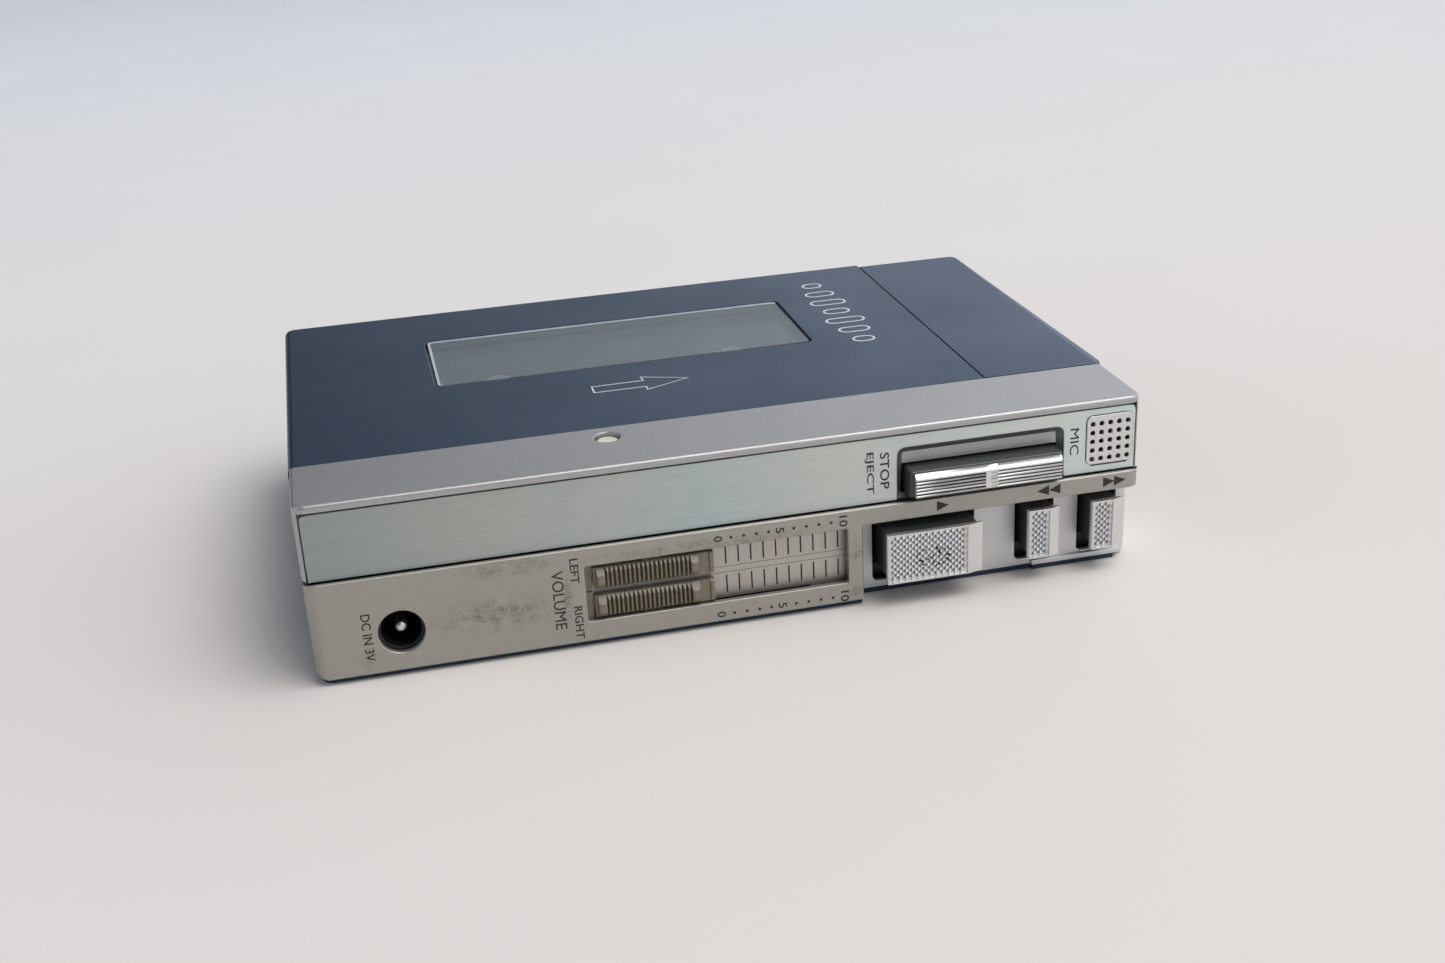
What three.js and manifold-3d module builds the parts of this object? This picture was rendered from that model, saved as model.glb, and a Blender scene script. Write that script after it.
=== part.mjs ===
// A pocket stereo cassette player: a navy two-part metal case, a silver control edge,
// a hinged cassette lid, and the tape mechanism inside. Millimetres, +Z up.
//
// It lies on its back. +X runs along the control edge, +Y from that edge to the hinge.
// The part's origin is under the middle of its box. Inside the group called unit, every
// place is measured from the left end (x), the control panel's front (y) and the
// underside (z), which is how the real parts are dimensioned.

import * as THREE from 'three';
import { mergeVertices } from 'three/addons/utils/BufferGeometryUtils.js';
import Module from 'manifold-3d';

// ---- driving dimensions -------------------------------------------------------------

const LENGTH = 133.5;          // along the control edge
const DEPTH = 88;              // control panel's front to the lid's hinge edge
const HEIGHT = 29.5;
const KEY_REACH = 2.4;         // how far the play key stands in front of the panel
const BUTTON_REACH = 1.3;      // how far the talk button stands out of the right end

const WALL = 1.2;              // case sheet
const GAP = 0.3;               // assembly gap between neighbours
const CORNER = 2;              // plan radius of the case's corners
const SILVER_INSET = 0.3;      // the silver pieces stand this much inside the navy ones

const BAND_FRONT = 0.5;        // the top band's front edge, behind the panel
const BAND_BACK = 16.4;        // where the silver stops and the navy starts
const NAVY_FRONT = BAND_BACK + GAP;
const CASE_BACK = 86.8;        // rear face of the case, just inside the lid's flange
const SPLIT = 16.65;           // height of the joint between lower and upper case
const LID_FLOOR = 24.2;        // top of the walls that the lid closes on
const SKIN = HEIGHT - WALL;    // underside of the top faces
const LID_RIGHT = 112.6;       // the lid's free end; the fixed top panel starts past it

const PANEL_LOW = 0.95;
const PANEL_HIGH = 16.9;
const LEDGE_LOW = 13.9;        // the panel narrows to a ledge over the keys
const LEDGE_START = 86.3;
const PANEL_SHEET = 1;
const RECESS = 3.7;            // the key plate stands this far behind the panel
const KEY_SHELF = { left: 116, front: 1.9 };   // part of its lower edge is bent forward

const STRIP = { left: 1.2, right: 132.3, low: 17.3, high: 28.1, front: 1, back: 1.9 };
const STRIP_WALL = { front: 2.2, back: 3.2 };
const STOP_OPENING = { left: 92.4, right: 120.1, high: 25.7 };

const KEY = { low: 4.1, high: 12.6, back: 9, cap: 0.9, travel: 3.5 };
const KEYS = [
  { name: 'play', left: 89.5, right: 105.5, front: -KEY_REACH, margin: 2.4 },
  { name: 'rewind', left: 113.8, right: 119.2, front: -0.8, margin: 1.6 },
  { name: 'fast_forward', left: 124.7, right: 130.1, front: -0.8, margin: 1.6 },
];

const VOLUME_SLOT = { left: 42, right: 83.8, low: 4.35, high: 13.7 };
const KNOB = { left: 43.3, right: 62.2, front: 0.1, back: 1.7, height: 4 };
// Each knob's stem goes round the outer edge of the slot and back through the scale plate.
const KNOB_ROWS = [
  { name: 'left', middle: 11.4, stem: 14.5, potHigh: 15 },
  { name: 'right', middle: 6.6, stem: 3.5, potLow: 3 },
];

const JACK_IN = { x: 13.7, z: 7.4, radius: 3.5 };
const LENS = { x: 48.8, y: 12.3, radius: 2 };
const MIC = { left: 124, right: 131.9, low: 18.5, high: 26.8, x: 127.98, z: 22.41, pitch: 1.5 };

const CASSETTE_MIDDLE = 58;
const HUB_Y = 57.3;            // row of the two reel hubs
const HUB_SPACING = 42.5;      // compact cassette standard
const DECK = { left: 3, right: 112, front: 5.4, back: 69.3, low: 14.2, high: 15.4 };
const CAPSTAN = { x: 78.7, y: 29.5, radius: 1.1 };
const PINCH = { y: 20.6, radius: 4.2, low: 18.4, high: 24.5 };
const CELL = { radius: 7.15, length: 50.2, y: 78.15, z: 8.75, left: 7.6 };
const DOOR = { right: 110, front: 70.6, back: 85.3, high: 9 };

const HINGE = { y: 86.9, z: 25.9, radius: 1.1, pin: 0.5, bore: 0.64 };
const HINGES = [{ name: 'left', x: 11.5 }, { name: 'right', x: 85.5 }];
const KNUCKLE = { ear: 2.2, lid: 10 };

const END_JACKS = [{ name: 'a', y: 24 }, { name: 'b', y: 78 }];
const END_JACK = { z: 9.5, collar: 3, bore: 1.8 };
const TALK = { low: 20.2, high: 27.8, front: 50, back: 58.4 };
const TONE = { low: 8.4, high: 11, front: 38, back: 46 };

const CASE_SCREWS = [[8, 22], [125.5, 20], [125.5, 66]];
const DECK_SCREWS = [[6, 64.5], [110, 66], [108.6, 12]];

// ---- materials ----------------------------------------------------------------------

const finish = (color, roughness, metalness) =>
  new THREE.MeshStandardMaterial({ color, roughness, metalness });

const NAVY_PAINT = finish(0x3c4a60, 0.45, 0.3);
const SILVER_PAINT = finish(0x9a979c, 0.4, 0.6);
const BLASTED_METAL = finish(0xa09c95, 0.45, 0.8);
const BRUSHED_METAL = finish(0xa9b3b0, 0.35, 0.9);
const BRIGHT_METAL = finish(0xc9cbcc, 0.3, 1);
const STEEL = finish(0x8f9294, 0.4, 1);
const BRASS = finish(0xb8934a, 0.35, 1);
const BLACK_PLASTIC = finish(0x17181a, 0.6, 0);
const GREY_PLASTIC = finish(0x3b4140, 0.55, 0);
const OLIVE_PLASTIC = finish(0x6a6455, 0.4, 0);
const ORANGE_PLASTIC = finish(0xd9541e, 0.45, 0);
const WHITE_PLASTIC = finish(0xd8d4c2, 0.4, 0);
const SMOKED_CLEAR = finish(0x8c959c, 0.1, 0);
const BOARD_GREEN = finish(0x3d5a3a, 0.6, 0);
const RUBBER = finish(0x151515, 0.9, 0);
const CELL_WRAP = finish(0x6d6f75, 0.4, 0.4);

// ---- solid geometry -----------------------------------------------------------------

const wasm = await Module();
wasm.setup();

function toSolid(geometry) {
  const bare = geometry.clone();
  bare.deleteAttribute('normal');
  bare.deleteAttribute('uv');
  const merged = mergeVertices(bare, 1e-5);
  const mesh = new wasm.Mesh({
    numProp: 3,
    vertProperties: new Float32Array(merged.attributes.position.array),
    triVerts: new Uint32Array(merged.index.array),
  });
  return new wasm.Manifold(mesh);
}

function toGeometry(solid) {
  const mesh = solid.getMesh();
  const geometry = new THREE.BufferGeometry();
  geometry.setAttribute('position', new THREE.BufferAttribute(mesh.vertProperties, 3));
  geometry.setIndex(new THREE.BufferAttribute(mesh.triVerts, 1));
  const faceted = geometry.toNonIndexed();
  faceted.computeVertexNormals();
  return faceted;
}

function cut(geometry, ...tools) {
  let solid = toSolid(geometry);
  for (const tool of tools) solid = solid.subtract(toSolid(tool));
  return toGeometry(solid);
}

function join(first, ...others) {
  let solid = toSolid(first);
  for (const other of others) solid = solid.add(toSolid(other));
  return toGeometry(solid);
}

function keep(geometry, region) {
  return toGeometry(toSolid(geometry).intersect(toSolid(region)));
}

function block([x0, y0, z0], [x1, y1, z1]) {
  const box = new THREE.BoxGeometry(x1 - x0, y1 - y0, z1 - z0);
  return box.translate((x0 + x1) / 2, (y0 + y1) / 2, (z0 + z1) / 2);
}

// An outline's own two axes, and the axis it is extruded along, for each view.
const X = new THREE.Vector3(1, 0, 0);
const Y = new THREE.Vector3(0, 1, 0);
const Z = new THREE.Vector3(0, 0, 1);
const TOP = { basis: [X, Y, Z], along: Z, reversed: false };
const FRONT = { basis: [X, Z, Y.clone().negate()], along: Y, reversed: true };
const END = { basis: [Y, Z, X], along: X, reversed: false };

// Each arc of an outline gets twice arcSteps straight steps.
function extrude(outline, view, from, to, arcSteps = 2) {
  const options = { depth: to - from, bevelEnabled: false, curveSegments: arcSteps };
  const geometry = new THREE.ExtrudeGeometry(outline, options);
  geometry.applyMatrix4(new THREE.Matrix4().makeBasis(...view.basis));
  const start = view.along.clone().multiplyScalar(view.reversed ? to : from);
  return geometry.translate(start.x, start.y, start.z);
}

function roundedRectangle(left, low, right, high, radius) {
  const outline = new THREE.Shape();
  outline.moveTo(left + radius, low);
  outline.lineTo(right - radius, low);
  outline.absarc(right - radius, low + radius, radius, -Math.PI / 2, 0);
  outline.lineTo(right, high - radius);
  outline.absarc(right - radius, high - radius, radius, 0, Math.PI / 2);
  outline.lineTo(left + radius, high);
  outline.absarc(left + radius, high - radius, radius, Math.PI / 2, Math.PI);
  outline.lineTo(left, low + radius);
  outline.absarc(left + radius, low + radius, radius, Math.PI, Math.PI * 1.5);
  return outline;
}

function circle(u, v, radius) {
  const outline = new THREE.Shape();
  outline.absarc(u, v, radius, 0, Math.PI * 2);
  return outline;
}

function polygon(...points) {
  return new THREE.Shape(points.map(([u, v]) => new THREE.Vector2(u, v)));
}

function disc(view, u, v, radius, from, to, sides = 24) {
  return extrude(circle(u, v, radius), view, from, to, sides / 2);
}

// ---- the assembly -------------------------------------------------------------------

const player = new THREE.Group();
const unit = new THREE.Group();
unit.position.set(-(LENGTH + BUTTON_REACH) / 2, -(DEPTH - KEY_REACH) / 2, 0);
player.add(unit);

function add(name, geometry, material) {
  const mesh = new THREE.Mesh(geometry, material);
  mesh.name = name;
  unit.add(mesh);
}

// Everything inside the case's plan outline, used to round the corners of a piece.
function planOutline(left, front, right, back, low, high) {
  return extrude(roundedRectangle(left, front, right, back, CORNER), TOP, low, high, 3);
}

// Lower case: a pressed navy tray. Its floor carries the bosses for the deck, and is
// open over the cells, where the battery door closes it and its left wall.
function lowerCase() {
  const top = SPLIT - GAP / 2;
  const outer = planOutline(0, 0, LENGTH, CASE_BACK, 0, top);
  const inner = planOutline(WALL, -5, LENGTH - WALL, CASE_BACK - WALL, WALL, top + 1);
  const front = block([-1, -1, -1], [LENGTH + 1, NAVY_FRONT, top + 1]);
  let tray = cut(outer, inner, front);
  const keyRoom = polygon(
    [LEDGE_START, -1], [LENGTH + 1, -1], [LENGTH + 1, RECESS + 1.8], [LENGTH - 1.3, RECESS + 1.8],
    [LENGTH - 3, KEY_SHELF.front + 0.3], [KEY_SHELF.left + 0.3, KEY_SHELF.front + 0.3],
    [KEY_SHELF.left + 0.3, RECESS + 0.3], [LEDGE_START, RECESS + 0.3]);
  const apron = cut(planOutline(1, 1, LENGTH - 1, NAVY_FRONT + 10, 0, PANEL_LOW - 0.25),
    extrude(keyRoom, TOP, -1, 1));
  const bosses = DECK_SCREWS.map(([x, y]) => disc(TOP, x, y, 2.2, 0.5, DECK.low - GAP, 12));
  tray = join(tray, apron, ...bosses);
  const doorway = block([-1, DOOR.front - GAP, -1], [DOOR.right + GAP, DOOR.back + GAP, WALL + 1]);
  const doorEnd = block([-1, DOOR.front - GAP, -1], [WALL + 1, DOOR.back + GAP, DOOR.high + GAP]);
  const screwHoles = CASE_SCREWS.map(([x, y]) => disc(TOP, x, y, 2.3, -1, 2, 16));
  const bossHoles = DECK_SCREWS.map(([x, y]) => disc(TOP, x, y, 1.1, 9, DECK.low, 12));
  const jackHoles = END_JACKS.map(({ y }) =>
    disc(END, y, END_JACK.z, END_JACK.collar + GAP, LENGTH - 2, LENGTH + 1, 16));
  const toneSlot = block([LENGTH - 2, TONE.front, TONE.low], [LENGTH + 1, TONE.back, TONE.high]);
  return cut(tray, doorway, doorEnd, ...screwHoles, ...bossHoles, ...jackHoles, toneSlot);
}

// Upper case: the wall that the lid closes on, and the fixed top panel at the right.
function upperCase() {
  const low = SPLIT + GAP / 2;
  const outer = planOutline(0, 0, LENGTH, CASE_BACK, low, HEIGHT);
  const inner = planOutline(WALL, -5, LENGTH - WALL, CASE_BACK - WALL, low - 1, SKIN);
  const front = block([-1, -1, 0], [LENGTH + 1, NAVY_FRONT, HEIGHT + 1]);
  const panelStart = LID_RIGHT + GAP;
  const lidSpace = block([-1, -1, LID_FLOOR], [panelStart, CASE_BACK + 1, HEIGHT + 1]);
  let shell = cut(outer, inner, front, lidSpace);
  const partition = block(
    [panelStart, NAVY_FRONT + 1, low], [panelStart + WALL, CASE_BACK - 0.5, SKIN + 0.5]);
  const ears = HINGES.flatMap(({ x }) => {
    const second = x + KNUCKLE.ear + KNUCKLE.lid + 2 * GAP;
    return [x, second].flatMap((start) => [
      disc(END, HINGE.y, HINGE.z, HINGE.radius, start, start + KNUCKLE.ear, 16),
      block([start, CASE_BACK - WALL, LID_FLOOR - 1],
        [start + KNUCKLE.ear, CASE_BACK - 0.1, HINGE.z]),
    ]);
  });
  const leftRim = block([0, NAVY_FRONT, LID_FLOOR - 0.2], [WALL, CASE_BACK - 2.5, LID_FLOOR + 0.75]);
  shell = join(shell, partition, leftRim, ...ears);
  const bores = HINGES.map(({ x }) => disc(END, HINGE.y, HINGE.z, HINGE.bore, x - 1, x + 17, 16));
  const talkHole = block(
    [LENGTH - 2, TALK.front - GAP, TALK.low - GAP], [LENGTH + 1, TALK.back + GAP, TALK.high + GAP]);
  return cut(shell, ...bores, talkHole);
}

// Silver frame: the top band, two end cheeks and the wall behind the trim strip.
function silverFrame() {
  const left = SILVER_INSET;
  const right = LENGTH - SILVER_INSET;
  const low = PANEL_HIGH + GAP;
  const outer = planOutline(left, BAND_FRONT, right, BAND_BACK + 10, low, HEIGHT);
  const hollow = block([1, STRIP_WALL.back, low - 1], [LENGTH - 1, BAND_BACK + 20, SKIN]);
  const stripBed = block([1, -1, low - 1], [LENGTH - 1, STRIP_WALL.front, SKIN]);
  const behind = block([-1, BAND_BACK, 0], [LENGTH + 1, BAND_BACK + 20, HEIGHT + 1]);
  const buttonHole = block([93.1, 0, low - 1], [119.9, 5, 22.8]);
  const lensHole = disc(TOP, LENS.x, LENS.y, LENS.radius + 0.1, SKIN - 1, HEIGHT + 1, 20);
  const micHole = disc(FRONT, MIC.x, MIC.z, 3.9, 1, 5, 16);
  return cut(outer, hollow, stripBed, behind, buttonHole, lensHole, micHole);
}

// Trim strip: a brushed plate let into the frame, notched for the stop button.
function trimStrip() {
  const outline = roundedRectangle(STRIP.left, STRIP.low, STRIP.right, STRIP.high, 1.1);
  const plate = extrude(outline, FRONT, STRIP.front, STRIP.back);
  const notch = extrude(roundedRectangle(STOP_OPENING.left, STRIP.low - 5, STOP_OPENING.right,
    STOP_OPENING.high, 1.2), FRONT, 0, 3);
  const micPocket = extrude(roundedRectangle(MIC.left - 0.1, MIC.low - 0.1, MIC.right + 0.1,
    MIC.high + 0.1, 1.1), FRONT, 0, 3);
  return cut(plate, notch, micPocket);
}

function micGrille() {
  const outline = roundedRectangle(MIC.left, MIC.low, MIC.right, MIC.high, 1);
  for (let column = -2; column <= 2; column += 1) {
    for (let row = -2; row <= 2; row += 1) {
      const x = MIC.x + column * MIC.pitch;
      const z = MIC.z + row * MIC.pitch;
      outline.holes.push(circle(x, z, 0.42));
    }
  }
  return extrude(outline, FRONT, 0.8, 1.6, 4);
}

// Control panel: one blasted plate that narrows to a ledge over the keys, folded back at
// its ends, with the supply jack's hole and the volume slot.
function controlPanel() {
  const left = SILVER_INSET;
  const right = LENGTH - SILVER_INSET;
  const outer = planOutline(left, 0, right, BAND_BACK + 10, PANEL_LOW, PANEL_HIGH);
  const hollow = block([1.3, PANEL_SHEET, 0], [LENGTH - 1.3, BAND_BACK + 20, PANEL_HIGH + 1]);
  const behind = block([-1, BAND_BACK, 0], [LENGTH + 1, BAND_BACK + 20, PANEL_HIGH + 1]);
  const keyRoom = block([LEDGE_START, -1, 0], [LENGTH + 1, BAND_BACK + 20, LEDGE_LOW]);
  const shell = cut(outer, hollow, behind, keyRoom);
  const ledge = block(
    [LEDGE_START - 1, 0.5, LEDGE_LOW], [LENGTH - 1, RECESS - GAP, PANEL_HIGH - 1]);
  const fold = block(
    [LEDGE_START - 1, 0.5, PANEL_LOW], [LEDGE_START, RECESS - GAP, PANEL_HIGH - 1]);
  const jackHole = disc(FRONT, JACK_IN.x, JACK_IN.z, JACK_IN.radius, -1, 3, 28);
  const slot = extrude(roundedRectangle(VOLUME_SLOT.left, VOLUME_SLOT.low, VOLUME_SLOT.right,
    VOLUME_SLOT.high, 0.4), FRONT, -1, 3);
  return cut(join(shell, ledge, fold), jackHole, slot);
}

function keySlot({ left, right }, clearance) {
  return [[left - clearance, KEY.low - 2], [right + clearance, KEY.high + clearance]];
}

// Key plate: closes the recess behind the keys and wraps the lower right corner.
function keyPlate() {
  const low = PANEL_LOW;
  const high = LEDGE_LOW - GAP;
  const right = LENGTH - SILVER_INSET;
  const outer = planOutline(LEDGE_START + GAP, RECESS, right, BAND_BACK + 10, low, high);
  const hollow = block([0, RECESS + 0.9, 0], [LENGTH - 1.3, BAND_BACK + 20, high + 1]);
  const behind = block([0, BAND_BACK, 0], [LENGTH + 1, BAND_BACK + 20, high + 1]);
  const squareEnd = block([LEDGE_START + GAP, RECESS, low], [LEDGE_START + 4, RECESS + 0.9, high]);
  const shelf = block(
    [KEY_SHELF.left, KEY_SHELF.front, low], [LENGTH - 2, RECESS + 0.5, low + 0.9]);
  const slots = KEYS.map((key) => {
    const [[x0, z0], [x1, z1]] = keySlot(key, 0.6);
    return extrude(roundedRectangle(x0, z0, x1, z1, 0.8), FRONT, 0, RECESS + 3);
  });
  return cut(join(cut(outer, hollow, behind), squareEnd, shelf), ...slots);
}

// Key guide: a steel comb behind the key plate in which the three keys slide.
function keyGuide() {
  const plate = block([LEDGE_START + 0.5, 6.2, 1.5], [LENGTH - 1.8, 7.2, 13.7]);
  const slots = KEYS.map(({ left, right }) =>
    block([left + 0.2, 5, KEY.low], [right - 0.2, 8, KEY.high]));
  return cut(plate, ...slots);
}

function keyBody({ left, right, front }) {
  return block([left + 0.5, front + KEY.cap + 0.05, KEY.low + 0.3],
    [right - 0.5, KEY.back, KEY.high - 0.3]);
}

// Key cap: a bright plate whose right margin slopes back.
function keyCap({ left, right, front, margin }) {
  const outline = polygon(
    [left, front], [right - margin, front], [right, front + KEY.cap * 0.7],
    [right, front + KEY.cap], [left, front + KEY.cap]);
  return extrude(outline, TOP, KEY.low, KEY.high);
}

// Volume scale: the plate behind the panel's slot, slit for the two sliders' stems.
function scalePlate() {
  const plate = block([40.5, 2.1, 2.6], [85, 2.7, 15.4]);
  const slits = KNOB_ROWS.map(({ stem }) => block([48.5, 0, stem - 0.5], [78, 5, stem + 0.5]));
  return cut(plate, ...slits);
}

// Volume knob: ribbed across its travel, with a plain block at the right end.
function volumeKnob({ middle, stem: stemZ }) {
  const low = middle - KNOB.height / 2;
  const high = middle + KNOB.height / 2;
  const body = block([KNOB.left, 0.6, low], [KNOB.right, KNOB.back, high]);
  const pitch = 0.76;
  const count = 17;
  const ribs = [];
  for (let rib = 0; rib < count; rib += 1) {
    const x = KNOB.left + 1.9 + rib * pitch;
    ribs.push(block([x, KNOB.front, low + 0.15], [x + 0.4, 0.8, high - 0.15]));
  }
  const leftBoss = block([KNOB.left, KNOB.front - 0.1, low], [KNOB.left + 1.4, 0.8, high]);
  const rightBoss = block([58.6, KNOB.front - 0.1, low], [59.7, 0.8, high]);
  const tab = block([51, 1.15, Math.min(middle, stemZ - 0.3)], [54, 1.65, Math.max(middle, stemZ + 0.3)]);
  const stem = block([51, 1.2, stemZ - 0.3], [54, 3.7, stemZ + 0.3]);
  return join(body, ...ribs, leftBoss, rightBoss, tab, stem);
}

// Slide control: a steel can, with a thin slider housing towards its knob's stem.
function slidePot({ middle, potLow = middle - 2.1, potHigh = middle + 2.1 }) {
  const can = block([42.5, 4, middle - 2.1], [84, 9, middle + 2.1]);
  return join(can, block([42.5, 4, potLow], [84, 5.1, potHigh]));
}

function supplyJack() {
  const housing = block([9.4, PANEL_SHEET + 0.2, 3.1], [18, 12, 11.7]);
  const bore = disc(FRONT, JACK_IN.x, JACK_IN.z, 3.1, 0, 10.5, 24);
  const pin = disc(FRONT, JACK_IN.x, JACK_IN.z, 0.85, 2, 11, 12);
  return join(cut(housing, bore), pin);
}

function endJack(y) {
  const housing = block([121, y - 4, END_JACK.z - 4], [LENGTH - WALL - GAP, y + 4, END_JACK.z + 4]);
  const collar = disc(END, y, END_JACK.z, END_JACK.collar, 130, LENGTH + 0.4, 20);
  const bore = disc(END, y, END_JACK.z, END_JACK.bore, 123, LENGTH + 1, 16);
  return cut(join(housing, collar), bore);
}

// Deck: the mechanism's steel plate and the floor of the cassette well.
function deckPlate() {
  const plate = block([DECK.left, DECK.front, DECK.low], [DECK.right, DECK.back, DECK.high]);
  const hubs = hubCentres().map((x) => disc(TOP, x, HUB_Y, 4, 10, 20, 20));
  const capstanHole = disc(TOP, CAPSTAN.x, CAPSTAN.y, 2.6, 10, 20, 16);
  const screwHoles = DECK_SCREWS.map(([x, y]) => disc(TOP, x, y, 1.2, 10, 20, 12));
  const stopRoom = block([92, 0, 10], [121, 6, 20]);
  return cut(plate, ...hubs, capstanHole, ...screwHoles, stopRoom);
}

function hubCentres() {
  return [CASSETTE_MIDDLE - HUB_SPACING / 2, CASSETTE_MIDDLE + HUB_SPACING / 2];
}

// Reel table: a drive disc below the deck and a splined spindle for the cassette's hub.
function reelTable(x) {
  const wheel = disc(TOP, x, HUB_Y, 9, 6, 8.6, 32);
  const shaft = disc(TOP, x, HUB_Y, 2.9, 8, 23.6, 18);
  const tip = disc(TOP, x, HUB_Y, 1.9, 23, 25.4, 18);
  const splines = [0, 1, 2, 3, 4, 5].map((index) => {
    const spline = block([1.2, -0.5, 17.5], [4.1, 0.5, 24.4]);
    spline.rotateZ((index * Math.PI) / 3);
    return spline.translate(x, HUB_Y, 0);
  });
  return join(wheel, shaft, tip, ...splines);
}

function flywheel() {
  const rim = disc(TOP, CAPSTAN.x, CAPSTAN.y, 14, 5, 9.4, 40);
  const beltRim = disc(TOP, CAPSTAN.x, CAPSTAN.y, 13, 2, 5.5, 40);
  const shaft = disc(TOP, CAPSTAN.x, CAPSTAN.y, CAPSTAN.radius, 9, 25, 16);
  return join(rim, beltRim, shaft);
}

const MOTOR = { x: 44, y: 33, radius: 12 };

function drivePulley() {
  return disc(TOP, MOTOR.x, MOTOR.y, 2.6, 1.8, 4.3, 16);
}

// The belt's outline: two round ends and the straights that touch them both.
function beltLoop(pulleyRadius, wheelRadius) {
  const dx = CAPSTAN.x - MOTOR.x;
  const dy = CAPSTAN.y - MOTOR.y;
  const turn = Math.atan2(dy, dx);
  const lean = Math.acos((wheelRadius - pulleyRadius) / Math.hypot(dx, dy));
  const outline = new THREE.Shape();
  const wheelStart = turn - Math.PI + lean;
  const wheelEnd = turn + Math.PI - lean;
  outline.absarc(CAPSTAN.x, CAPSTAN.y, wheelRadius, wheelStart, wheelEnd);
  outline.absarc(MOTOR.x, MOTOR.y, pulleyRadius, wheelEnd, wheelStart + Math.PI * 2);
  return outline;
}

function driveBelt() {
  const loop = beltLoop(2.9 + 0.8, 13.3 + 0.8);
  loop.holes.push(beltLoop(2.9, 13.3));
  return extrude(loop, TOP, 2.5, 3.7, 24);
}

// Head carriage: the plate that brings the head and the pinch roller to the tape.
function headCarriage() {
  const plate = block([44, 9, DECK.high + 0.3], [92, 18.6, DECK.high + 1.4]);
  const headPost = block([52, 10, DECK.high + 1], [64, 12, 22]);
  const forkBack = block([74, 15, DECK.high + 1], [83.4, 16, PINCH.high + 0.9]);
  const prongs = [PINCH.low - 0.9, PINCH.high + 0.3].map((low) =>
    block([75.7, 15, low], [81.7, PINCH.y + 1.4, low + 0.6]));
  const axleBore = disc(TOP, CAPSTAN.x, PINCH.y, 0.75, PINCH.low - 2, PINCH.high + 2, 16);
  return cut(join(plate, headPost, forkBack, ...prongs), axleBore);
}

function playbackHead() {
  const outline = new THREE.Shape();
  outline.moveTo(52.5, 12.3);
  outline.lineTo(63.5, 12.3);
  outline.lineTo(63.5, 19);
  outline.absarc(58, 16.4, 5.2, 0.5, Math.PI - 0.5);
  outline.lineTo(52.5, 19);
  return extrude(outline, TOP, 17.4, 25.6, 5);
}

function pinchRoller() {
  const tyre = disc(TOP, CAPSTAN.x, PINCH.y, PINCH.radius, PINCH.low, PINCH.high);
  const axle = disc(TOP, CAPSTAN.x, PINCH.y, 0.6, PINCH.low - 1, PINCH.high + 1, 12);
  return join(tyre, axle);
}

// Lid: the navy cover, its window, the holder that carries the cassette and the catch.
function lidCover() {
  const outer = keep(
    planOutline(0, 0, LENGTH, DEPTH, LID_FLOOR + 1.1, HEIGHT),
    block([-1, NAVY_FRONT, 0], [LID_RIGHT, DEPTH + 1, HEIGHT + 1]));
  const hollow = planOutline(WALL, -5, LENGTH, DEPTH - WALL, 0, SKIN);
  const opening = extrude(roundedRectangle(25, 45, 91.4, 70.3, 1.2), TOP, 20, 40);
  const cover = cut(outer, hollow, opening);
  const earRoom = HINGES.flatMap(({ x }) => {
    const second = x + KNUCKLE.ear + KNUCKLE.lid + 2 * GAP;
    return [x, second].map((start) => block(
      [start - GAP, CASE_BACK - 1, 20], [start + KNUCKLE.ear + GAP, DEPTH + 1, HINGE.z + 1.7]));
  });
  const knuckles = HINGES.map(({ x }) => {
    const start = x + KNUCKLE.ear + GAP;
    return disc(END, HINGE.y, HINGE.z, HINGE.radius, start, start + KNUCKLE.lid, 16);
  });
  const bores = HINGES.map(({ x }) => disc(END, HINGE.y, HINGE.z, HINGE.bore, x - 1, x + 17, 16));
  return cut(join(cut(cover, ...earRoom), ...knuckles), ...bores);
}

function lidWindow() {
  const pane = extrude(roundedRectangle(25.4, 45.4, 91, 69.9, 0.9), TOP, 27.8, HEIGHT);
  const flange = block([23.8, 43.8, 27.5], [92.6, 71.5, SKIN - 0.1]);
  return join(pane, flange);
}

// Cassette holder: a sheet frame under the lid, with a rail down each side.
function cassetteHolder() {
  const sheet = block([3, 18.5, 27.5], [111, 84, 28.2]);
  const opening = block([23.4, 43.4, 20], [93, 71.9, 30]);
  const leftRail = block([3, 40, 18], [4.2, 82, 27.8]);
  const rightRail = block([109.8, 40, 18], [111, 82, 27.8]);
  return cut(join(sheet, leftRail, rightRail), opening);
}

function lidCatch() {
  const arm = block([100, 18.6, 20], [106, 19.5, 27.4]);
  const hook = block([100, 17.6, 20], [106, 19, 21.2]);
  return join(arm, hook);
}

function batteryDoor() {
  const plate = block([0, DOOR.front, 0.05], [DOOR.right, DOOR.back, WALL - 0.05]);
  const end = block([0, DOOR.front, 0.05], [WALL, DOOR.back, DOOR.high]);
  return join(plate, end);
}

function batteryCell(left) {
  const can = disc(END, CELL.y, CELL.z, CELL.radius, left, left + CELL.length - 1.2, 24);
  const nub = disc(END, CELL.y, CELL.z, 2.7, left + 10, left + CELL.length, 12);
  return join(can, nub);
}

// Battery cradle: the hood over the cells, between them and the mechanism.
function batteryCradle() {
  const outer = block([5.4, 69.7, 1.5], [111.4, 85.4, 16.9]);
  const inner = block([0, 70.6, 0], [110.6, 90, 16.1]);
  return cut(outer, inner);
}

function batteryContact(left) {
  return block([left, 73, 3.2], [left + 0.4, 83, 14.6]);
}

function batterySpring(left) {
  const seat = block([left - 0.4, 73, 3.2], [left, 83, 14.6]);
  const cone = disc(END, CELL.y, CELL.z, 2.4, left - 0.2, left + 1.3, 12);
  return join(seat, cone);
}

function stopBody() {
  return block([93.8, -1, 17.9], [119.3, 9, 22.3]);
}

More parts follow.
